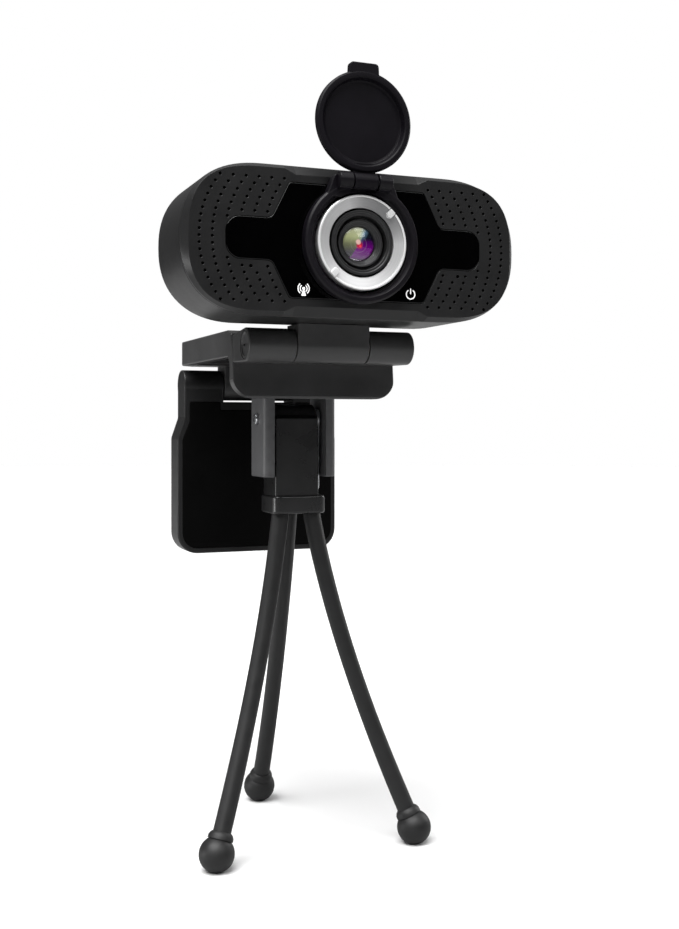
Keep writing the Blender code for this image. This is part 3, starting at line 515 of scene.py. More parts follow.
def brushed_ring():
    """Silver turned on a lathe: fine circular lines, with broad painted highlights and painted shade in
    sectors round the ring.
    """
    mat, tree, shader, where = blank(
        "Brushed_silver", (0.62, 0.62, 0.63), 0.34, 0.35, Anisotropic=0.5
    )
    radius, angle, *_ = polar(tree, where, HEAD)
    lines = add(tree, "CombineXYZ", {0: radius, 1: 0.0, 2: 0.0})
    groove = add(tree, "TexNoise", {"Vector": lines.outputs[0], "Scale": 9000.0, "Detail": 4.0})
    band = add(tree, "TexNoise", {"Vector": lines.outputs[0], "Scale": 2200.0, "Detail": 1.0})
    # Painted highlights round the left, the bottom and the right, and painted shade at the upper right.
    turned = add(tree, "Math", {0: angle, 1: 0.6}, operation="ADD")
    wave = add(tree, "Math", {0: turned.outputs[0]}, operation="SINE")
    shade = ramp(tree, spread(tree, wave.outputs[0], 1.0, 0.0), [
        (0.0, (0.30, 0.30, 0.305)), (0.15, (0.40, 0.40, 0.405)), (0.42, (0.72, 0.72, 0.725)),
        (1.0, (0.70, 0.70, 0.705)),
    ])
    grey = ramp(tree, groove.outputs[0], [(0.35, (0.72, 0.72, 0.72)), (0.65, (1.0, 1.0, 1.0))])
    mix = add(tree, "Mix", {0: 1.0, 6: shade, 7: grey}, data_type="RGBA", blend_type="MULTIPLY")
    tree.links.new(mix.outputs[2], shader.inputs["Base Color"])
    tree.links.new(spread(tree, band.outputs[0], 0.24, 0.46), shader.inputs["Roughness"])
    bump = add(tree, "Bump", {"Height": groove.outputs[0], "Strength": 0.7, "Distance": 0.004 * MM})
    tree.links.new(bump.outputs[0], shader.inputs["Normal"])
    tangent = add(tree, "Tangent", direction_type="RADIAL", axis="Y")
    tree.links.new(tangent.outputs[0], shader.inputs["Tangent"])
    return mat


def board_mat():
    """Green solder mask over copper tracks, with small pads."""
    mat, tree, shader, where = blank("Circuit_board", (0.01, 0.09, 0.04), 0.42)
    grid = add(tree, "TexVoronoi", {"Vector": where, "Scale": 620.0}, feature="DISTANCE_TO_EDGE")
    tracks = ramp(tree, grid.outputs[0], [(0.03, (0.02, 0.16, 0.07)), (0.09, (0.008, 0.075, 0.03))])
    dots = add(tree, "TexVoronoi", {"Vector": where, "Scale": 900.0})
    pads = add(tree, "MapRange", {"Value": dots.outputs[0], 1: 0.14, 2: 0.2, 3: 1.0, 4: 0.0})
    mix = add(tree, "Mix", {0: pads.outputs[0], 6: tracks, 7: (0.55, 0.5, 0.36, 1.0)}, data_type="RGBA")
    tree.links.new(mix.outputs[2], shader.inputs["Base Color"])
    bump = add(tree, "Bump", {"Height": grid.outputs[0], "Strength": 0.4, "Distance": 0.03 * MM})
    tree.links.new(bump.outputs[0], shader.inputs["Normal"])
    return mat


def glass_mat(name, tint, rough=0.0, vary=0.01):
    mat, tree, shader, where = blank(name, tint, rough, Transmission_Weight=1.0, IOR=1.45)
    dust = add(tree, "TexNoise", {"Vector": where, "Scale": 1500.0, "Detail": 3.0}).outputs[0]
    haze = add(tree, "MapRange", {"Value": dust, 1: 0.5, 2: 0.8, 3: rough, 4: rough + vary})
    tree.links.new(haze.outputs[0], shader.inputs["Roughness"])
    return mat


def lens_mat():
    """The coated glass behind the front element, with its coating reflections painted in: green and violet
    halves round a painted red reflection at the iris, and a painted glow.
    """
    mat, tree, shader, where = blank("Coated_lens_painted_reflections", (0.1, 0.1, 0.1), 0.12, Coat_Weight=1.0)
    shader.inputs["Coat Roughness"].default_value = 0.02
    radius, _, x, z, _ = polar(tree, where, HEAD)
    # Distance from a slanting line through the middle, which parts the two halves.
    across = add(tree, "Math", {0: x, 1: 0.86}, operation="MULTIPLY")
    slant = add(tree, "Math", {0: z, 1: -0.51}, operation="MULTIPLY")
    side = add(tree, "Math", {0: across.outputs[0], 1: slant.outputs[0]}, operation="ADD").outputs[0]
    height = add(tree, "MapRange", {"Value": z, 1: -3.9 * MM, 2: 3.9 * MM, 3: 0.0, 4: 1.0}).outputs[0]
    # Painted reflections of the coatings: the left half turns yellow-green towards the top, the right half
    # violet towards the bottom.
    left = ramp(tree, height, [
        (0.0, (0.010, 0.008, 0.010)), (0.26, (0.040, 0.036, 0.044)), (0.50, (0.16, 0.17, 0.09)),
        (0.72, (0.42, 0.45, 0.22)), (1.0, (0.48, 0.50, 0.32)),
    ])
    right = ramp(tree, height, [
        (0.0, (0.018, 0.0, 0.02)), (0.12, (0.10, 0.0, 0.13)), (0.36, (0.15, 0.0, 0.19)),
        (0.56, (0.06, 0.002, 0.09)), (0.68, (0.004, 0.006, 0.012)), (1.0, (0.004, 0.01, 0.016)),
    ])
    which = add(tree, "MapRange", {"Value": side, 1: -0.06 * MM, 2: 0.06 * MM, 3: 0.0, 4: 1.0})
    halves = add(tree, "Mix", {0: which.outputs[0], 6: left, 7: right}, data_type="RGBA")
    # A painted blue reflection along the upper part of the line between the halves.
    near = add(tree, "Math", {0: side}, operation="ABSOLUTE").outputs[0]
    upper = add(tree, "MapRange", {"Value": z, 1: 0.2 * MM, 2: 2.4 * MM, 3: 0.0, 4: 1.0}).outputs[0]
    glow = add(tree, "MapRange", {"Value": near, 1: 1.0 * MM, 2: 0.0, 3: 0.0, 4: 0.75}).outputs[0]
    blue = add(tree, "Math", {0: glow, 1: upper}, operation="MULTIPLY").outputs[0]
    banded = add(tree, "Mix", {0: blue, 6: halves.outputs[2], 7: (0.16, 0.30, 0.42, 1.0)}, data_type="RGBA")
    # Faint pale rings of the inner elements, painted as reflections.
    rings = add(tree, "Math", {0: radius, 1: 2.0 * math.pi / (0.95 * MM)}, operation="MULTIPLY")
    wave = add(tree, "Math", {0: rings.outputs[0]}, operation="COSINE")
    thin = add(tree, "MapRange", {"Value": wave.outputs[0], 1: 0.86, 2: 1.0, 3: 0.0, 4: 0.16}).outputs[0]
    inner = add(tree, "MapRange", {"Value": radius, 1: 2.3 * MM, 2: 1.9 * MM, 3: 0.0, 4: 1.0}).outputs[0]
    line = add(tree, "Math", {0: thin, 1: inner}, operation="MULTIPLY").outputs[0]
    ringed = add(tree, "Mix", {0: line, 6: banded.outputs[2], 7: (0.55, 0.5, 0.5, 1.0)}, data_type="RGBA")

    # Round spots of painted reflection mixed over the colour: a red one at the iris and small pale and red
    # glints.
    def spot(base, dx, dz, size, colour, strength):
        moved = add(tree, "VectorMath", {0: where}, operation="SUBTRACT")
        moved.inputs[1].default_value = [(HEAD[0] + dx) * MM, HEAD[1] * MM, (HEAD[2] + dz) * MM]
        flat = add(tree, "VectorMath", {0: moved.outputs[0], 1: (1.0, 0.0, 1.0)}, operation="MULTIPLY")
        reach = add(tree, "VectorMath", {0: flat.outputs[0]}, operation="LENGTH").outputs["Value"]
        here = add(tree, "MapRange", {
            "Value": reach, 1: size * MM, 2: size * 0.55 * MM, 3: 0.0, 4: strength,
        }).outputs[0]
        return add(tree, "Mix", {0: here, 6: base, 7: (*colour, 1.0)}, data_type="RGBA").outputs[2]

    colour = spot(ringed.outputs[2], 0.18, -0.32, 0.95, (0.50, 0.012, 0.05), 0.95)
    colour = spot(colour, -0.12, 0.42, 0.72, (0.86, 0.56, 0.48), 0.95)
    colour = spot(colour, 0.34, -0.5, 0.34, (0.9, 0.06, 0.08), 0.8)
    rim = add(tree, "MapRange", {"Value": radius, 1: 3.35 * MM, 2: 3.9 * MM, 3: 0.0, 4: 0.8}).outputs[0]
    edged = add(tree, "Mix", {0: rim, 6: colour, 7: (0.01, 0.01, 0.012, 1.0)}, data_type="RGBA")
    tree.links.new(edged.outputs[2], shader.inputs["Base Color"])
    # The painted colours also drive the emission, so the element glows a little though it is no lamp: a
    # painted glow.
    tree.links.new(edged.outputs[2], shader.inputs["Emission Color"])
    shader.inputs["Emission Strength"].default_value = 0.6
    return mat


# Radius, half width and brightness of the lines on the lens barrel: bright lines are painted highlights at
# the step edges, dark ones painted shade in the grooves.
BARREL_LINES = (
    (4.38, 0.05, 1.0), (4.77, 0.05, 1.0), (5.08, 0.05, 1.0), (5.52, 0.05, 1.0), (6.0, 0.3, 0.01),
    (7.03, 0.07, 1.0), (7.85, 0.18, 0.02),
)


def barrel_mat():
    """Blackened metal with fine turning lines, painted highlights at the step edges and painted shade in
    the grooves.
    """
    mat, tree, shader, where = blank("Turned_black", (0.03, 0.03, 0.031), 0.36, Specular_IOR_Level=0.35)
    radius, *_ = polar(tree, where, HEAD)
    line = add(tree, "CombineXYZ", {0: radius, 1: 0.0, 2: 0.0})
    noise = add(tree, "TexNoise", {"Vector": line.outputs[0], "Scale": 5200.0, "Detail": 3.0}).outputs[0]
    base = ramp(tree, noise, [(0.35, (0.026, 0.026, 0.027)), (0.65, (0.05, 0.05, 0.052))])
    # Painted shade in the deep grooves, and painted highlights at the edges of the steps.
    across = add(tree, "MapRange", {"Value": radius, 1: 3.9 * MM, 2: 8.1 * MM, 3: 0.0, 4: 1.0}).outputs[0]
    stops = []
    for spot, half, grey in BARREL_LINES:
        for edge, shade in ((-half - 0.03, 0.5), (-half, grey), (half, grey), (half + 0.03, 0.5)):
            stops.append(((spot + edge - 3.9) / 4.2, (shade, shade, shade)))
    marks = ramp(tree, across, stops)
    twice = add(tree, "Mix", {0: 1.0, 6: base, 7: marks}, data_type="RGBA", blend_type="MULTIPLY")
    tree.links.new(twice.outputs[2], shader.inputs["Base Color"])
    tree.links.new(spread(tree, noise, 0.30, 0.46), shader.inputs["Roughness"])
    bump = add(tree, "Bump", {"Height": noise, "Strength": 0.5, "Distance": 0.006 * MM})
    tree.links.new(bump.outputs[0], shader.inputs["Normal"])
    return mat


SILVER_MAT = brushed_ring()
RIM_MAT = surface("Polished_rim", (0.93, 0.93, 0.93), 0.3, 0.25, lift=0.001, mottle=0.03)
BOARD_MAT = board_mat()
LENS_GLASS = glass_mat("Lens_glass", (0.97, 0.98, 1.0))
FILTER_MAT = glass_mat("Filter_glass", (0.55, 0.85, 0.85), 0.02)
GUIDE_MAT = glass_mat("Light_guide", (0.92, 0.95, 1.0), 0.18, 0.1)
COATING_REFLECTION_MAT = lens_mat()
TURNED = barrel_mat()

# ---------------------------------------------------------------- camera head
TOP_STEP = fillet(
    [(21.5, 0.0), (STEP_OUT, 0.0), (STEP_IN, STEP_H), (12.5, STEP_H)], 0.9, 4, closed=False
)


def head_outline(cut_x, cut_z, step, seg=44):
    """The head's outline moved in by cut_x and cut_z; step narrows its middle."""
    hw, hh, a = HALF_W - cut_x, HALF_H - cut_z, END_A - cut_x
    power = END_POWER + (FACE_POWER - END_POWER) * step / STEP_H
    points = []
    for sign, start in ((1, -90.0), (-1, 90.0)):
        for k in range(seg + 1):
            angle = math.radians(start + 180.0 * k / seg)
            c, s = math.cos(angle), math.sin(angle)
            x = math.copysign(abs(c) ** (2 / power), c) * a
            z = math.copysign(abs(s) ** (2 / power), s) * hh
            points.append((sign * (hw - a) + x, z))
        side = [(x, hh - drop / STEP_H * step) for x, drop in TOP_STEP]
        run = side + [(-x, z) for x, z in side[::-1]]
        points += run if sign > 0 else [(-x, -z) for x, z in run]
    return points


def head_ring(y, depth, step=0.0, ratio=1.0):
    return [(x, y, z) for x, z in head_outline(depth, depth * ratio, step)]


CORNERS = [(32.3, 4.9), (21.4, 4.9), (17.1, 13.4)]
ROUNDS = [3.5, 1.9, 1.1]
quad = [(1, 1), (-1, 1), (-1, -1), (1, -1)]
panel_points, panel_rounds = [], []
for sx, sz in quad:
    part = [((sx * x, sz * z), r) for (x, z), r in zip(CORNERS, ROUNDS)]
    for point, r in part if sx * sz > 0 else part[::-1]:
        panel_points.append(point)
        panel_rounds.append(r)
PANEL = fillet(panel_points, panel_rounds, 8)


def clear_of(x, z, loop, gap):
    """True if a point lies outside a loop by more than a gap."""
    pts = np.array(loop)
    nxt = np.roll(pts, -1, axis=0)
    run = nxt - pts
    t = np.clip(((x - pts[:, 0]) * run[:, 0] + (z - pts[:, 1]) * run[:, 1]) / (run**2).sum(1), 0, 1)
    near = pts + run * t[:, None]
    close = np.hypot(near[:, 0] - x, near[:, 1] - z).min()
    over = (pts[:, 1] > z) != (nxt[:, 1] > z)
    at = pts[:, 0] + (z - pts[:, 1]) * run[:, 0] / np.where(run[:, 1] == 0, 1e-9, run[:, 1])
    return close > gap and not (over & (x < at)).sum() % 2


# Nineteen rows of small dimples fan round each end of the panel.
DOTS = []
for row in range(19):
    z = 14.1 - 1.572 * row
    edge = -38.5 + 4.9 * abs(z / 14.1) ** 2.2
    for col in range(3 if 6 <= row <= 12 else 6):
        x = edge + 3.06 * col
        if clear_of(x, z, PANEL, 0.62):
            DOTS += [(x, z), (-x, z)]
# The dimple nearest to each microphone is its hole, drilled where the CAD has it.
MIC_X, MIC_Z = 26.4, -6.4
MICS = [(side * MIC_X, MIC_Z) for side, _ in SIDES]
DOTS = [p for p in DOTS if math.hypot(abs(p[0]) - MIC_X, p[1] - MIC_Z) > 1.6]
SPLIT = 2.5


def front_housing():
    """Face with its chamfer, dimples, microphone holes and the pocket under the panel."""
    shell = Shell()
    path = fillet([(2.3, 0.0), (1.6, 0.0), (0.0, 1.9), (0.0, SPLIT)], [0, 0.22, 0.6, 0], 5, False)
    rings = []
    for depth, y in path:
        step = STEP_H * min(1.0, depth / 1.6)
        rings.append(head_ring(y, depth, step, 1.1 / 1.6))
    shell.skin(rings)
    face = [(x, z) for x, _, z in rings[0]]
    back = [(x, z) for x, _, z in rings[-1]]
    loops = [face]

    def hole(loop, stages, floor=True):
        """A recess in the face: (outwards, depth) stages from the face down."""
        stack = [(inset(loop, -grow) if grow else loop, y) for grow, y in stages]
        shell.skin([[place("Y", u, v, y) for u, v in ring] for ring, y in stack])
        loops.append(stack[0][0])
        if floor:
            shell.cap("Y", stack[-1][1], [stack[-1][0]])
        return stack[-1][0]

    pocket = hole(inset(PANEL, -0.10), [(0.04, 0.0), (0.0, 0.04), (0.0, 1.5)], False)
    opening = circle(0.0, 0.0, 12.0, 72)
    shell.cap("Y", 1.5, [pocket, opening])
    shell.skin([[place("Y", u, v, y) for u, v in opening] for y in (1.5, SPLIT)])
    shell.cap("Y", SPLIT, [back, opening])
    for x, z in DOTS:
        hole(circle(x, z, 0.36, 14), [(0.07, 0.0), (0.02, 0.03), (0.0, 0.09), (-0.02, 0.8), (-0.12, 0.88)])
    for x, z in MICS:
        hole(circle(x, z, 0.42, 16), [(0.08, 0.0), (0.02, 0.03), (0.0, 0.09), (0.0, 1.7)])
    shell.cap("Y", 0.0, loops)
    obj = shell.make("webcam_front_shell", SATIN, HEAD)
    # Painted shade: the small faces inside the dimples and holes, below the face, take the near-black
    # material.
    obj.data.materials.append(DIMPLE_SHADE_MAT)
    deep, front = (HEAD[1] + 0.07) * MM, (HEAD[1] + 1.75) * MM
    for face in obj.data.polygons:
        x, y, z = face.center / MM
        inside = abs(x) < 41.0 and abs(z - HEAD[2]) < 16.3 and deep < y * MM < front
        if inside and face.area < 4e-7:
            face.material_index = 1
    return obj


finish_piece(front_housing(), "camera_head", "front_housing", flat=True)


def rear_housing():
    """Rounded back shell with vents, screw wells and the socket opening."""
    radius, wall = 5.6, 2.0
    path = [(0.16, 2.8), (0.05, 2.84), (0.0, 2.96)]
    path += [(0.0, y) for y in (10.0, HEAD_D - radius)]
    for k in range(1, 15):
        t = math.radians(90 * k / 14)
        path.append((radius * (1 - math.cos(t)), HEAD_D - radius + radius * math.sin(t)))
    inner = [(wall, 2.8), (wall, 20.5), (2.4, 22.6), (3.4, 24.4), (5.4, 25.4)]
    shell = Shell()
    rings = [head_ring(y, d) for d, y in inner[::-1] + path]
    shell.skin(rings)
    for ring in (rings[0], rings[-1]):
        shell.cap("Y", ring[0][1], [[(x, z) for x, _, z in ring]])
    obj = shell.make("webcam_rear_shell", SATIN, HEAD)
    tools = []
    for n in range(5):
        slot = rect(0.7, 2.6, 0.69, 6, (n - 2) * 4.6, 7.6)
        vent = Shell()
        stack = [(0.0, 24.0), (0.0, HEAD_D - 0.25), (-0.1, HEAD_D - 0.1), (-0.3, HEAD_D + 0.3)]
        vent.tower([(inset(slot, d) if d else slot, y) for d, y in stack])
        tools.append(vent.make(f"cut_vent_{n}", None, HEAD))
    for n, (x, z) in enumerate(SCREWS):
        well = [(0, 9.0), (1.4, 9.0), (1.4, 26.2), (2.6, 26.2), (2.6, 27.7), (3.0, 28.3), (0, 28.3)]
        tools.append(turn(f"cut_well_{n}", well, "Y", None, (x, HEAD[1], HEAD[2] + z), 40))
    port = rect(4.65, 1.8, 1.78, 8, 0.0, PORT_Z)
    socket = Shell()
    stack = [(0.0, 24.0), (0.0, HEAD_D - 0.3), (-0.15, HEAD_D - 0.1), (-0.45, HEAD_D + 0.3)]
    socket.tower([(inset(port, d) if d else port, y) for d, y in stack])
    tools.append(socket.make("cut_port", None, HEAD))
    # A shallow plain plate recess between the screws.
    label = rect(24.0, 3.6, 1.2, 6, 0.0, 0.2)
    tools.append(slab("cut_plate", label, "Y", HEAD_D - 0.35, HEAD_D + 1.0, None, HEAD))
    tools.append(slab("cut_neck", rect(6.1, 2.6, 0.6, 4, 0.0, 19.5), "Z", -19.0, -14.0, None, HEAD))
    return cut(obj, *tools)


finish_piece(rear_housing(), "camera_head", "rear_housing", angle=30.0)

panel = slab(
    "gloss_panel", PANEL, "Y", -0.05, 1.4, GLOSS, HEAD, edge=0.16, holes=[circle(0, 0, 11.75, 96)],
    low_edge=0.22, seg=4,
)
finish_piece(panel, "camera_head", "front_panel")


# ---------------------------------------------------------------- printed symbols
def stroke(radius, width, start, end, seg=18):
    """The outline of a curved stroke with round ends, about the origin."""
    outer = arc(0, 0, radius + width / 2, start, end, seg)
    inner = arc(0, 0, radius - width / 2, end, start, seg)
    a, b = math.radians(end), math.radians(start)
    tip = arc(radius * math.cos(a), radius * math.sin(a), width / 2, end, end + 180, 6)[1:-1]
    tail = arc(radius * math.cos(b), radius * math.sin(b), width / 2, start + 180, start + 360, 6)[1:-1]
    return outer + tip + inner + tail


def symbol(name, loops, at):
    """Flat raised ink from several outlines, in one mesh."""
    shell = Shell()
    for loop in loops:
        shell.tower([(inset(loop, 0.02), -0.085), (loop, -0.07), (loop, -0.045)])
    return shell.make(name, GLOWING_INK, at)


ICON_X, ICON_Z = 13.65, -11.3
waves = [circle(0.0, 0.25, 0.36, 16)]
for size in (0.85, 1.38):
    for turned in (0, 180):
        loop = stroke(size, 0.24, -48 + turned, 48 + turned)
        waves.append([(x, z + 0.25) for x, z in loop])
mast = [(-0.15, -0.02), (0.15, -0.02), (0.62, -1.45), (-0.62, -1.45)]
waves.append(fillet(mast, [0.05, 0.05, 0.12, 0.12], 3))
bar = [(-0.14, 0.05), (0.14, 0.05), (0.14, 1.4), (-0.14, 1.4)]
power = [stroke(1.12, 0.26, 125, 415, 36), fillet(bar, 0.1, 3)]
for name, loops, x in (("wireless_symbol", waves, -ICON_X), ("power_symbol", power, ICON_X)):
    finish_piece(symbol(name, loops, (x, HEAD[1], HEAD[2] + ICON_Z)), "camera_head")

# ---------------------------------------------------------------- privacy cover
RING_R = high_mm("cover_base_ring")[0]
FLAP_R = 11.9
ring_profile = fillet(
    [
        (11.7, -0.45), (RING_R, -0.45), (RING_R, -2.9), (13.85, -3.4), (12.9, -3.4), (12.2, -2.3),
        (11.7, -2.0),
    ],
    [0.05, 0.12, 0.35, 0.3, 0.25, 0.4, 0.1], 4,
)
cover = turn("cover_ring", ring_profile, "Y", COVER_MAT, HEAD, 128)
shoulder = fillet(
    [(-9.2, 10.2), (9.2, 10.2), (7.2, 15.2), (6.8, 15.5), (-6.8, 15.5), (-7.2, 15.2)][::-1],
    [0.5, 0.3, 0.5, 0.5, 0.3, 0.5], 4,
)
block = slab("cover_block", shoulder, "Y", -3.35, -0.45, None, HEAD, edge=0.25)
parts = [block]
hinge_y, hinge_z = FLIP[1] - HEAD[1], FLIP[2] - HEAD[2]
for side, word in SIDES:
    low, high = sorted((side * 3.25, side * 6.6))
    knuckle = arc(hinge_y, hinge_z, 2.0, 90, 270, 22) + [(-1.2, 12.0), (-1.2, 15.45), (-3.0, 15.9)]
    parts.append(slab(f"cover_knuckle_{word}", knuckle, "X", low, high, None, HEAD, edge=0.22))
join(cover, *parts)
cut(
    cover,
    slab("gap", rect(3.2, 2.825, 0, 1, 0, -4.175), "Z", 11.6, 17.0, None, HEAD),
    rod("opening", 11.66, "Y", -8.0, 1.0, None, HEAD, 128),
    rod("pin_seat", 0.62, "X", -6.2, 6.2, None, FLIP, 24),
)
finish_piece(cover, "camera_head", "cover_base_ring", angle=30.0)
pin = rod("cover_pin", 0.55, "X", -6.0, 6.0, STEEL_MAT, FLIP, 28, 0.1)
finish_piece(pin, "camera_head", "cover_hinge_pin")

flap_profile = [
    (0.0, 1.15), (9.3, 1.15), (9.75, 1.0), (10.25, -0.1), (10.55, -0.3), (11.45, -0.3),
    (FLAP_R, 0.15), (FLAP_R, 1.25), (11.2, 2.0), (0.0, 2.2),
]
rounds = [0, 0.3, 0.3, 0.15, 0.15, 0.2, 0.25, 0.3, 0.8, 0]
flap_profile = fillet(flap_profile, rounds, 4, closed=False)
flap = turn("privacy_flap", flap_profile, "Y", FLAP_MAT, FLAP, 128)
tab = fillet([(-3.75, 10.9), (3.75, 10.9), (3.6, 13.75), (-3.6, 13.75)], [0, 0, 0.9, 0.9], 5)
neck = rect(2.9, 2.15, 0, 1, 0.0, -11.75)
join(
    flap,
    slab("flap_tab", tab, "Y", -0.2, 1.8, None, FLAP, edge=0.3, seg=4),
    slab("flap_neck", neck, "Y", 0.15, 1.75, None, FLAP, edge=0.15),
    slab("flap_hub", circle(0, 0, 1.85, 36), "X", -2.95, 2.95, None, FLIP, edge=0.2),
)
cut(flap, rod("flap_pin", 0.62, "X", -4.0, 4.0, None, FLIP, 24))
finish_piece(flap, "cover_flap", "cover_flap", angle=30.0)

# ---------------------------------------------------------------- focus ring and lens
ring_section = fillet(
    [(8.15, -2.3), (10.45, -2.86), (10.52, -3.0), (10.98, -3.1), (11.2, -2.85), (11.2, 1.8), (9.0, 1.8),
     (9.0, 0.4), (8.15, 0.4)],
    [0.08, 0.06, 0.08, 0.1, 0.1, 0.1, 0.1, 0.1, 0.1], 3,
)
NUB_ANGLES = (45.0, 226.0)
ring = turn("silver_focus_ring", ring_section, "Y", SILVER_MAT, HEAD, 160)
nubs = []
for n, angle in enumerate(NUB_ANGLES):
    spin = Matrix.Rotation(math.radians(-angle), 3, "Y")
    shape = fillet(
        [(8.85, 0.0), (9.25, 0.8), (11.12, 0.85), (11.12, -0.85), (9.25, -0.8)],
        [0.4, 0.4, 0.4, 0.4, 0.4], 4,
    )
    steps = ((-3.3, 0.3), (-3.24, 0.12), (-3.05, 0.02), (-2.0, 0.0))
    stack = [(y, inset(shape, small)) for y, small in steps]
    nub = Shell()
    nub.skin([[tuple(spin @ Vector((u, y, v))) for u, v in loop] for y, loop in stack])
    last = 3 * len(shape)
    nub.faces += [tuple(range(len(shape))), tuple(range(last, last + len(shape)))]
    nubs.append(nub.make(f"ring_nub_{n + 1}", RIM_MAT, HEAD))
finish_piece(ring, "focus_ring", "focus_ring", angle=28.0)
for nub in nubs:
    finish_piece(nub, "focus_ring", angle=28.0)
rim = turn(
    "polished_rim",
    fillet([(10.6, -3.08), (10.95, -3.13), (11.12, -3.02), (11.12, -2.8), (10.6, -2.8)], 0.03, 2),
    "Y", RIM_MAT, HEAD, 160,
)
notches = []
for n, angle in enumerate(NUB_ANGLES):
    spin = Matrix.Rotation(math.radians(-angle), 4, "Y")
    notch = slab(f"notch_{n}", rect(1.2, 1.05, 0.1, 2, 10.9, 0.0), "Y", -5.0, 0.0)
    notch.data.transform(Matrix.Translation(Vector(HEAD) * MM) @ spin)
    notches.append(notch)
cut(rim, *notches)
finish_piece(rim, "focus_ring", angle=28.0)

barrel_section = [
    (6.5, -2.5), (6.95, -2.42), (7.1, -2.6), (7.62, -2.6), (7.82, -1.6), (8.05, -1.5), (8.05, 2.6),
    (6.1, 2.6), (6.1, 10.6), (3.6, 10.6),
    (3.6, 7.6), (3.2, 7.6), (3.2, 1.2), (4.05, 1.2), (4.05, -0.62), (4.35, -0.8), (4.4, -1.0),
    (4.75, -1.15), (4.8, -1.35), (5.05, -1.45), (5.1, -1.6), (5.55, -1.72), (5.7, -0.4),
    (6.3, -0.4), (6.36, -2.4),
]
barrel_section = fillet(barrel_section, 0.07, 2)
lens_barrel = turn("lens_barrel_turned", barrel_section, "Y", TURNED, HEAD, 128)
finish_piece(lens_barrel, "focus_ring", "lens_barrel", angle=28.0)


def dome(radius, sag, y, count=10):
    """Half section of a spherical cap, from the middle out."""
    big = (radius**2 + sag**2) / (2 * sag)
    limit = math.asin(radius / big)
    steps = [limit * k / count for k in range(count + 1)]
    return [(big * math.sin(t), y + big * (1 - math.cos(t))) for t in steps]


front_glass = dome(3.95, 1.05, -1.75) + [(3.95, -0.3), (3.9, -0.25)] + dome(3.9, 0.7, -0.95)[::-1]
front_lens = turn("front_lens_dome", front_glass, "Y", LENS_GLASS, HEAD, 96)
finish_piece(front_lens, "focus_ring", "lens_front_element", angle=40.0)
coated = dome(3.9, 0.55, -0.35) + [(3.9, 0.9), (0.0, 0.9)]
finish_piece(turn("coated_lens_element", coated, "Y", COATING_REFLECTION_MAT, HEAD, 96), "focus_ring", angle=40.0)
rear_glass = dome(3.5, 0.7, 8.0) + [(3.5, 10.0)] + [(r, 18.5 - y) for r, y in dome(3.5, 0.5, 8.0)[::-1]]
rear_lens = turn("rear_lens_dome", rear_glass, "Y", LENS_GLASS, HEAD, 64)
finish_piece(rear_lens, "focus_ring", "lens_rear_element", angle=40.0)

# ---------------------------------------------------------------- socket and screws
port_at = (0.0, HEAD[1], HEAD[2] + PORT_Z)
port = slab(
    "socket_shell", rect(4.5, 1.65, 1.62, 8), "Y", 20.5, 27.9, STEEL_MAT, port_at,
    edge=0.06, holes=[rect(4.2, 1.35, 1.32, 8)], hole_edge=0.08,
)
tongue = slab("socket_tongue", rect(3.3, 0.35, 0.1, 2), "Y", 20.6, 27.0, CHIP_MAT, port_at, edge=0.08)
finish_piece(port, "camera_head", "usb_port", angle=30.0)
finish_piece(tongue, "camera_head")
pins = Shell()
for side in (-1, 1):
    for n in range(10):
        u = (n - 4.5) * 0.56
        low, high = sorted((side * 0.34, side * 0.4))
        loop = [(u - 0.14, low), (u + 0.14, low), (u + 0.14, high), (u - 0.14, high)]
        pins.tower([(loop, 22.0), (loop, 26.4)])
finish_piece(pins.make("socket_contacts", GOLD, port_at), "camera_head")
SCREW_PROFILE = [
    (0, 5.0), (0.9, 5.0), (1.05, 5.4), (1.05, 26.35), (2.35, 26.35), (2.35, 26.9), (1.5, 27.4), (0, 27.5),
]
floor_plate = slab("socket_floor", rect(4.3, 1.45, 1.4, 6), "Y", 20.55, 20.8, CHIP_MAT, port_at)
finish_piece(floor_plate, "camera_head")

for n, (x, z) in enumerate(SCREWS):
    at = (x, HEAD[1], HEAD[2] + z)
    head = turn(
        f"screw_head_{n + 1}",
        fillet(SCREW_PROFILE, [0, 0.1, 0.1, 0, 0.05, 0.25, 0.6, 0], 4, closed=False),
        "Y", STEEL_MAT, at, 48,
    )
    cross = [slab(f"cross_{k}", rect(*size, 0.12, 2), "Y", 26.75, 28.5, None, at)
             for k, size in enumerate(((1.25, 0.24), (0.24, 1.25)))]
    cut(head, *cross)
    finish_piece(head, "camera_head", f"housing_screw_{n + 1}", angle=30.0)

# ---------------------------------------------------------------- monitor clip
BARREL_R, BARREL_HW, KNUCKLE_HW = 4.2, 22.0, 9.5
PLATE_TOP, PLATE_UNDER, PLATE_REAR, LIP_LOW = 4.6, -2.4, 66.0, -12.9
REAR_V, REAR_W, REAR_R = REAR[1] - AXIS[1], REAR[2] - AXIS[2], 4.4

knuckle_shape = [(-4.2, 0.0), (-4.2, 5.25), (4.2, 5.25), (4.2, 0.0)]
knuckle_shape += arc(0, 0, BARREL_R, 0, -180, 40)[1:-1]
knuckle = slab(
    "neck_barrel", knuckle_shape, "X", -KNUCKLE_HW, KNUCKLE_HW, CLIP_SATIN_PAINTED_LIGHT, AXIS, edge=0.22, seg=4,
)
join(knuckle, slab("tenon", rect(6.0, 2.5, 0.6, 4, 0.0, 19.5), "Z", -18.2, -14.6, None, HEAD))
cut(knuckle, rod("neck_bore", 1.58, "X", -12.0, 12.0, None, AXIS, 40))
finish_piece(knuckle, "camera_head", "neck_knuckle", angle=30.0)


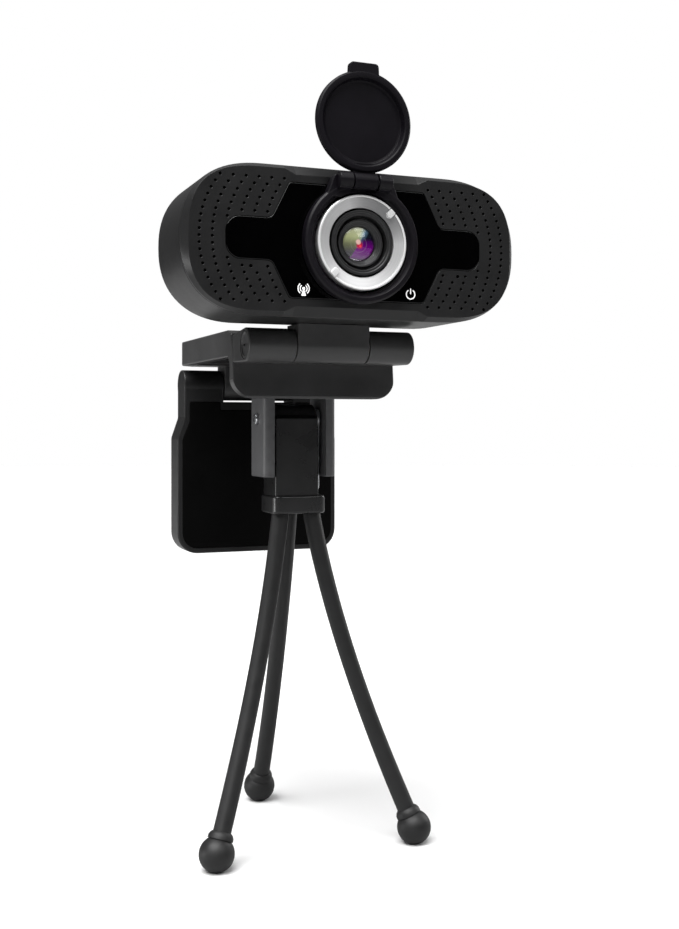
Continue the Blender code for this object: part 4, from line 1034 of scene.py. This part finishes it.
def clip_base():
    """Barrel, plate and front lip in one moulding."""
    corners = [
        (PLATE_REAR, PLATE_UNDER), (PLATE_REAR, PLATE_TOP), (14.6, PLATE_TOP), (11.3, 3.7),
        (10.1, 0.5), (9.55, -5.0), (8.8, -12.3), (8.95, LIP_LOW), (12.1, LIP_LOW), (12.55, -12.4),
        (12.6, -3.8), (14.2, PLATE_UNDER),
    ]
    section = fillet(corners, [0.6, 1.4, 3.5, 1.6, 5.0, 20.0, 0.5, 0.45, 0.5, 0.4, 0.9, 0.9], 6)
    clip = slab("clip_moulding", section, "X", -CLIP_HW, CLIP_HW, CLIP_SATIN_PAINTED_LIGHT, AXIS, edge=0.5, seg=4)
    web = arc(0.0, 0.0, BARREL_R, 83, 270, 44) + [(10.4, -4.0), (10.8, 3.1)]
    knuckle = [(REAR_V - 4.4, PLATE_UNDER + 1.0), (REAR_V + 3.6, PLATE_UNDER + 1.0)]
    knuckle += arc(REAR_V, REAR_W, REAR_R, 0, -180, 40)
    join(
        clip,
        slab("clip_barrel", web, "X", -BARREL_HW, BARREL_HW, None, AXIS, edge=0.45, seg=4),
        slab("rear_knuckle", knuckle, "X", -10.3, 10.3, None, AXIS, edge=0.25),
    )
    tools = []
    for side, word in SIDES:
        r = 5.6
        low = [(side * (CLIP_HW + 1), LIP_LOW - 1), (side * (CLIP_HW + 1), LIP_LOW + r)]
        start, end = (0, -90) if side > 0 else (180, 270)
        low += arc(side * (CLIP_HW - r), LIP_LOW + r, r, start, end, 20)
        low += [(side * (CLIP_HW - r), LIP_LOW - 1)]
        tools.append(slab(f"lip_corner_{word}", low, "Y", 4.0, 13.5, None, AXIS))
        c = 4.5
        corner = [
            (side * (CLIP_HW - c), PLATE_REAR + 1), (side * (CLIP_HW + 1), PLATE_REAR + 1),
            (side * (CLIP_HW + 1), PLATE_REAR - c), (side * CLIP_HW, PLATE_REAR - c),
            (side * (CLIP_HW - c), PLATE_REAR),
        ]
        tools.append(slab(f"plate_corner_{word}", corner, "Z", PLATE_UNDER - 1, PLATE_TOP + 1, None, AXIS))
    channel = [(6.3, -0.4), (6.3, 9.0), (-6.0, 9.0), (-6.0, 0.0)]
    channel += arc(0.0, 0.0, BARREL_R + 0.4, 180, 355, 36)
    tools.append(slab("channel", channel, "X", -9.8, 9.8, None, AXIS))
    bore = [
        (0.0, -23.0), (3.55, -23.0), (3.55, -20.8), (1.52, -20.8), (1.52, -10.5), (3.5, -10.5),
        (3.5, 10.5), (1.52, 10.5), (1.52, 20.8), (3.55, 20.8), (3.55, 23.0), (0.0, 23.0),
    ]
    tools.append(turn("front_bore", bore, "X", None, AXIS, 48))
    tools.append(rod("rear_bore", 1.58, "X", -12.0, 12.0, None, REAR, 40))
    cut(clip, *tools)
    pan_v = PAN[1] - AXIS[1]
    pocket = slab(
        "underside", rect(19.8, 20.4, 1.6, 5, 0.0, 35.8), "Z", PLATE_UNDER - 1, 2.3, None, AXIS
    )
    boss_at = (0, PAN[1], AXIS[2])
    cut(
        pocket,
        rod("boss", 9.2, "Z", PLATE_UNDER - 2, 3.0, None, boss_at, 64),
        slab("rib_across", rect(21.0, 0.8, 0, 1, 0.0, pan_v), "Z", -4.0, 3.0, None, AXIS),
        slab("rib_along", rect(0.8, 22.0, 0, 1, 0.0, 36.0), "Z", -4.0, 3.0, None, AXIS),
        slab("rib_back", rect(21.0, 0.8, 0, 1, 0.0, 45.0), "Z", -4.0, 3.0, None, AXIS),
    )
    cut(clip, pocket, rod("nut_seat", 5.1, "Z", PLATE_UNDER - 1, 3.1, None, boss_at, 48))
    return soften(clip, 0.16, 42.0)


finish_piece(clip_base(), "clip_base", "clip_base", angle=30.0)

for side, word in SIDES:
    low, high = sorted((side * 20.9, side * 21.95))
    face, back = (high, low) if side > 0 else (low, high)
    dish, slot_end = face - side * 0.3, face - side * 0.6
    profile = [(0.0, back), (3.45, back), (3.45, face), (2.9, face), (2.75, dish), (0.0, dish)]
    profile = fillet(profile, [0, 0.05, 0.22, 0.1, 0.1, 0], 3, closed=False)
    cap = turn(f"barrel_cap_{word}", profile, "X", CLIP_SATIN_PAINTED_LIGHT, AXIS, 56)
    low, high = sorted((face, slot_end))
    slot = slab("slot", rect(1.9, 0.28, 0.2, 3), "X", low, high + 0.01, None, AXIS)
    cut(cap, slot)
    finish_piece(cap, "clip_base", f"hinge_cap_{word}", angle=30.0)

lip_shape = rect(17.0, 3.0, 1.5, 6, 0.0, -8.4)
lip_pad = slab("lip_rubber", lip_shape, "Y", 12.6, 13.5, RUBBER_MAT, AXIS, edge=0.25, seg=4)
finish_piece(lip_pad, "clip_base", "lip_pad")
for word, radius, half, at in (("front", 1.45, 20.6, AXIS), ("rear", 1.5, 19.0, REAR)):
    pin = rod(f"hinge_pin_{word}", radius, "X", -half, half, STEEL_MAT, at, 32, 0.2)
    finish_piece(pin, "clip_base", f"{word}_hinge_pin")

# ---------------------------------------------------------------- clip leg
LEG_T = 4.2
leg_half = [
    (LEG_HW, LEG_LOW), (LEG_HW, -15.4), (22.4, -9.6), (22.4, 0.0), (10.7, 0.0), (10.6, -4.9),
]
leg_rounds = [6.0, 3.0, 2.5, 0.9, 0.9, 0]
leg_points = leg_half + [(-x, z) for x, z in leg_half[::-1]]
leg_outline = fillet(leg_points, leg_rounds + leg_rounds[::-1], 8)
leg = slab("clip_leg_frame", leg_outline, "Y", -LEG_T, LEG_T, SATIN, REAR, edge=0.55, seg=4)
for side, word in SIDES:
    low, high = sorted((side * 10.6, side * 22.4))
    join(leg, rod(f"leg_knuckle_{word}", REAR_R, "X", low, high, None, REAR, 72, 0.4))
pad_half = [(22.9, LEG_LOW + 1.5), (22.9, -15.9), (20.8, -10.6), (20.8, -4.9), (11.6, -4.9), (11.6, -7.3)]
pad_rounds = [4.5, 3.0, 2.5, 0.5, 0.5, 0.5]
pad_points = pad_half + [(-x, z) for x, z in pad_half[::-1]]
pad_outline = fillet(pad_points, pad_rounds + pad_rounds[::-1], 8)
tools = [slab("pad_recess", inset(pad_outline, -0.08), "Y", -LEG_T - 1, -LEG_T + 0.9, None, REAR)]
tools.append(rod("leg_bore", 1.6, "X", -19.3, 19.3, None, REAR, 40))
for row, (z0, z1) in enumerate(((-25.4, -10.0), (-45.0, -26.8))):
    for col, (x0, x1) in enumerate(((-21.6, -8.2), (-6.8, 6.8), (8.2, 21.6))):
        cell = rect((x1 - x0) / 2, (z1 - z0) / 2, 1.3, 5, (x0 + x1) / 2, (z0 + z1) / 2)
        tools.append(slab(f"cell_{row}{col}", cell, "Y", -1.2, LEG_T + 1, None, REAR))
cut(leg, *tools)
soften(leg, 0.15, 42.0)
finish_piece(leg, "clip_leg", "clip_leg", angle=30.0)
leg_pad = slab("leg_rubber", pad_outline, "Y", -LEG_T - 0.05, -LEG_T + 0.82, PAD_MAT, REAR, edge=0.2, seg=4)
finish_piece(leg_pad, "clip_leg", "leg_pad")

# ---------------------------------------------------------------- tripod head
YOKE_LOW, YOKE_TOP = low_mm("tripod_yoke")[2], high_mm("tripod_yoke")[2]
yoke = slab(
    "tripod_bracket", rect(10.2, 6.4, 1.7, 6), "Z", YOKE_LOW, YOKE_TOP, YOKE_MAT, PAN, edge=0.4, seg=3,
)
inner = fillet([(-7.2, 90.0), (7.2, 90.0), (7.2, 122.5), (-7.2, 122.5)], [0, 0, 1.0, 1.0], 5)
cut(
    yoke,
    slab("yoke_slot", inner, "Y", -9.0, 9.0, None, PAN),
    rod("yoke_screw", 3.28, "Z", 120.0, 128.0, None, PAN, 48),
    rod("yoke_pin", 1.53, "X", -12.0, 12.0, None, TILT, 36),
)
soften(yoke, 0.3, 50.0)
finish_piece(yoke, "tripod_yoke", "tripod_yoke", angle=30.0)
pad = fillet([(3.7, 126.3), (8.3, 126.3), (8.6, 126.6), (8.6, 127.9), (3.7, 127.9)], 0.15, 3)
finish_piece(turn("mount_washer", pad, "Z", RUBBER_MAT, PAN, 72), "tripod_yoke", "mount_pad")
finish_piece(rod("pivot_pin", 1.48, "X", -10.9, 10.9, STEEL_MAT, TILT, 36, 0.25), "tripod_yoke", "tilt_pin")


def thread():
    """The quarter-inch screw with rounded turns of 1.27 mm pitch."""
    profile = [(0.0, 119.2), (3.17, 119.2), (3.17, 128.4)]
    z = 128.4
    while z + 1.27 < 132.4:
        profile += [(3.17, z + 0.2), (2.65, z + 0.55), (2.65, z + 0.72), (3.17, z + 1.07)]
        z += 1.27
    profile += [(3.17, z + 0.1), (2.6, 132.9), (0.0, 132.9)]
    return turn("tripod_screw", profile, "Z", STEEL_MAT, PAN, 56)


finish_piece(thread(), "mount_screw", "mount_screw", angle=30.0)
grips = []
RIDGES = 36
for k in range(RIDGES * 4):
    t = 2.0 * math.pi * k / (RIDGES * 4)
    r = 6.7 + 0.2 * math.cos(RIDGES * t)
    grips.append((r * math.cos(t), r * math.sin(t)))
wheel_bore = circle(0, 0, 3.22, 48)
wheel = slab("grip_wheel", grips, "Z", 118.4, 122.2, SATIN, PAN, edge=0.4, holes=[wheel_bore], seg=3)
finish_piece(wheel, "mount_screw", "thumb_wheel")

block_shape = [(-5.2, 0.0)] + arc(0.0, 0.0, 4.0, 165, 15, 34) + [(5.2, 0.0), (5.4, -20.9), (-5.4, -20.9)]
block = slab("tripod_body", block_shape, "X", -6.7, 5.5, BLOCK_MAT, TILT, edge=0.45, seg=4)
join(block, slab("block_foot", rect(7.4, 6.6, 2.2, 8), "Z", 87.0, 91.8, None, PAN, edge=0.6, seg=4))
PIVOTS = {
    "left": (-4.5, PAN[1] - 2.6), "right": (4.5, PAN[1] - 2.6), "rear": (0.0, PAN[1] + 3.6),
}
PIVOT_Z = 86.4
cut(block, rod("block_pin", 1.57, "X", -8.0, 8.0, None, TILT, 36))
for word, at in PIVOTS.items():
    ball = [(0.0, 2.5), (0.9, 2.33), (1.7, 1.83), (2.26, 1.07), (2.5, 0.0), (2.7, -1.6), (0.0, -1.6)]
    cut(block, turn(f"socket_{word}", ball, "Z", None, (*at, PIVOT_Z), 40))
finish_piece(block, "tripod_block", "tripod_block", angle=30.0)

lever_shape = arc(0.0, 0.0, 3.1, -38, 218, 36) + [(-2.0, -15.0)]
lever_shape += arc(0.0, -17.4, 2.3, 200, 340, 20) + [(2.0, -15.0)]
lever = slab("lock_lever_plate", lever_shape, "X", 5.85, 6.95, STEEL_MAT, TILT, edge=0.25, seg=3)
cut(lever, rod("lever_pin", 1.57, "X", 4.0, 9.0, None, TILT, 36))
finish_piece(lever, "lock_lever", "lock_lever", angle=30.0)


# ---------------------------------------------------------------- tripod legs
def bezier(p0, p1, p2, p3, count):
    points = []
    for i in range(count + 1):
        t = i / count
        s = 1.0 - t
        points.append(p0 * s**3 + p1 * (3 * s * s * t) + p2 * (3 * s * t * t) + p3 * t**3)
    return points


FOOT_R, FOOT_Z, SLEEVE_R = 4.5, 4.2, 2.35
for word, at in PIVOTS.items():
    foot = middle(f"ball_foot_{word}")
    start = Vector((*at, PIVOT_Z))
    end = Vector((foot[0], foot[1], FOOT_Z))
    out = Vector((end.x - start.x, end.y - start.y, 0.0)).normalized()
    reach = (end - start).length / 3.0
    lean, slope = math.radians(11), math.radians(25)
    first = start + (out * math.sin(lean) - Vector((0, 0, math.cos(lean)))) * reach
    last = end - (out * math.sin(slope) - Vector((0, 0, math.cos(slope)))) * reach
    path = bezier(start, first, last, end, 40)
    direction = (path[-1] - path[-2]).normalized()
    while (path[-1] - end).length < 2.3:
        path.pop()
    path.append(end - direction * 2.25)
    down = (path[1] - path[0]).normalized()
    ends = [math.radians(a) for a in (80, 66, 52, 38, 25, 12)]
    cap = [(path[0] - down * SLEEVE_R * math.sin(a), SLEEVE_R * math.cos(a)) for a in ends]
    radii = []
    for i in range(len(path)):
        t = i / (len(path) - 1)
        radii.append(SLEEVE_R * (1.0 - 0.05 * math.sin(math.pi * t)))
    tube = sweep(
        f"tripod_leg_{word}", [p for p, _ in cap] + path, [r for _, r in cap] + radii, RUBBER_MAT, 32
    )
    finish_piece(tube, f"leg_{word}", f"leg_sleeve_{word}")
    ball = [(0.0, -FOOT_Z), (1.5, -FOOT_Z)]
    for k in range(28):
        angle = math.radians(-68 + 158 * k / 27)
        ball.append((FOOT_R * math.cos(angle), FOOT_R * math.sin(angle)))
    ball[-1] = (0.0, FOOT_R)
    foot_obj = turn(f"tripod_foot_{word}", ball, "Z", RUBBER_MAT, tuple(end), 56)
    collar = sweep(
        f"collar_{word}", [end - direction * d for d in (3.4, 4.2, 4.9, 5.3)],
        [SLEEVE_R + 0.95, SLEEVE_R + 0.9, SLEEVE_R + 0.55, SLEEVE_R + 0.1], None, 32,
    )
    join(foot_obj, collar)
    bore_path = [end - direction * 2.1, end - direction * 9.0]
    bore = sweep(f"foot_bore_{word}", bore_path, [SLEEVE_R + 0.03] * 2, None, 32)
    cut(foot_obj, bore)
    finish_piece(foot_obj, f"leg_{word}", f"ball_foot_{word}", angle=30.0)

# ---------------------------------------------------------------- carried-over CAD nodes
KEPT = {
    "main_circuit_board": BOARD_MAT, "port_board": BOARD_MAT, "image_sensor": CHIP_MAT,
    "infrared_filter": FILTER_MAT, "lens_holder": BARREL_MAT, "light_guide_left": GUIDE_MAT,
    "light_guide_right": GUIDE_MAT, "microphone_left": STEEL_MAT, "microphone_right": STEEL_MAT,
    "cover_adhesive": FOAM_MAT, "tripod_nut": BRASS_MAT, "friction_washer_left": WASHER_MAT,
    "friction_washer_right": WASHER_MAT, "leg_core_left": STEEL_MAT, "leg_core_right": STEEL_MAT,
    "leg_core_rear": STEEL_MAT,
}
for node, mat in KEPT.items():
    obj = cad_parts[node]
    obj.data.materials.clear()
    obj.data.materials.append(mat)

# ---------------------------------------------------------------- floor, light and camera
FLOOR_R = 3.0
bm = bmesh.new()
bmesh.ops.create_circle(bm, cap_ends=True, radius=FLOOR_R, segments=96)
floor_mesh = bpy.data.meshes.new("floor")
bm.to_mesh(floor_mesh)
bm.free()
floor = bpy.data.objects.new("floor", floor_mesh)
bpy.context.scene.collection.objects.link(floor)
floor_mat = surface(
    "Pale_floor", (0.86, 0.86, 0.86), 0.6, lift=0.0, mottle=0.01, blotch=6.0, Specular_IOR_Level=0.2,
)
# The camera sees a paler floor than the one that lights the object from below.
SEEN, UNSEEN = (0.88, 0.88, 0.88, 1.0), (0.42, 0.42, 0.42, 1.0)
floor_tree = floor_mat.node_tree
seen_floor = add(floor_tree, "LightPath").outputs["Is Camera Ray"]
shade = add(floor_tree, "Mix", {0: seen_floor, 6: UNSEEN, 7: SEEN}, data_type="RGBA")
floor_tree.links.new(shade.outputs[2], floor_tree.nodes["Principled BSDF"].inputs["Base Color"])
floor_mesh.materials.append(floor_mat)


def softbox(name, at, aim, size, watts):
    light = bpy.data.lights.new(name, "AREA")
    light.shape = "RECTANGLE"
    light.size, light.size_y = size
    light.energy = watts
    obj = bpy.data.objects.new(name, light)
    obj.location = at
    obj.rotation_mode = "QUATERNION"
    obj.rotation_quaternion = (Vector(at) - Vector(aim)).to_track_quat("Z", "Y")
    bpy.context.scene.collection.objects.link(obj)


def sun(name, way, strength, spread_deg):
    light = bpy.data.lights.new(name, "SUN")
    light.energy = strength
    light.angle = math.radians(spread_deg)
    obj = bpy.data.objects.new(name, light)
    obj.rotation_mode = "QUATERNION"
    obj.rotation_quaternion = Vector(way).to_track_quat("Z", "Y")
    bpy.context.scene.collection.objects.link(obj)


sun("daylight", (-0.45, -0.35, 1.0), 3.9, 50.0)
softbox("top", (-0.1, -0.25, 1.0), (0, 0, 0.12), (0.7, 0.35), 5.0)
softbox("left", (-0.8, 0.15, 0.04), (0, 0, 0.14), (0.3, 0.06), 1.3)
softbox("front", (0.5, -0.85, 0.85), (0, 0, 0.13), (0.55, 0.3), 2.6)
softbox("right", (0.95, 0.2, 0.45), (0, 0, 0.14), (0.4, 0.5), 3.0)

world = bpy.data.worlds.new("Studio")
bpy.context.scene.world = world
world.use_nodes = True
tree = world.node_tree
tree.nodes.clear()
way = add(tree, "TexCoord").outputs["Generated"]
part = add(tree, "SeparateXYZ", {0: way})
# Dim at the horizon and behind the camera, bright overhead and behind the object.
heights = ((0.0, 0.07), (0.3, 0.12), (0.7, 0.45), (1.0, 0.8))
rise = ramp(tree, part.outputs[2], [(at, (grey,) * 3) for at, grey in heights])
around = add(tree, "MapRange", {"Value": part.outputs[1], 1: -0.6, 2: 0.6, 3: 0.05, 4: 1.0}).outputs[0]
lit = add(tree, "Mix", {0: 1.0, 6: rise, 7: around}, data_type="RGBA", blend_type="MULTIPLY")
soft = add(tree, "Background", {"Color": lit.outputs[2], "Strength": 0.9})
plain = add(tree, "Background", {"Color": (1.0, 1.0, 1.0, 1.0), "Strength": 1.0})
seen = add(tree, "LightPath").outputs["Is Camera Ray"]
both = add(tree, "MixShader", {0: seen, 1: soft.outputs[0], 2: plain.outputs[0]})
out = add(tree, "OutputWorld", {0: both.outputs[0]})

scene = bpy.context.scene
scene.view_settings.view_transform = "Standard"
scene.view_settings.look = "None"

EYE = (-0.107, -0.299, 0.1106)
LOOK = math.radians(-22.0)
camera_data = bpy.data.cameras.new("camera")
camera_data.sensor_width = 36.0
camera_data.lens = 46.0
camera_data.shift_x = -0.01
camera_data.shift_y = -0.042
camera_data.clip_start = 0.01
camera_data.clip_end = 20.0
camera = bpy.data.objects.new("camera", camera_data)
camera.location = EYE
camera.rotation_euler = (math.radians(90.0), 0.0, LOOK)
bpy.context.scene.collection.objects.link(camera)
scene.camera = camera

bpy.context.view_layer.update()
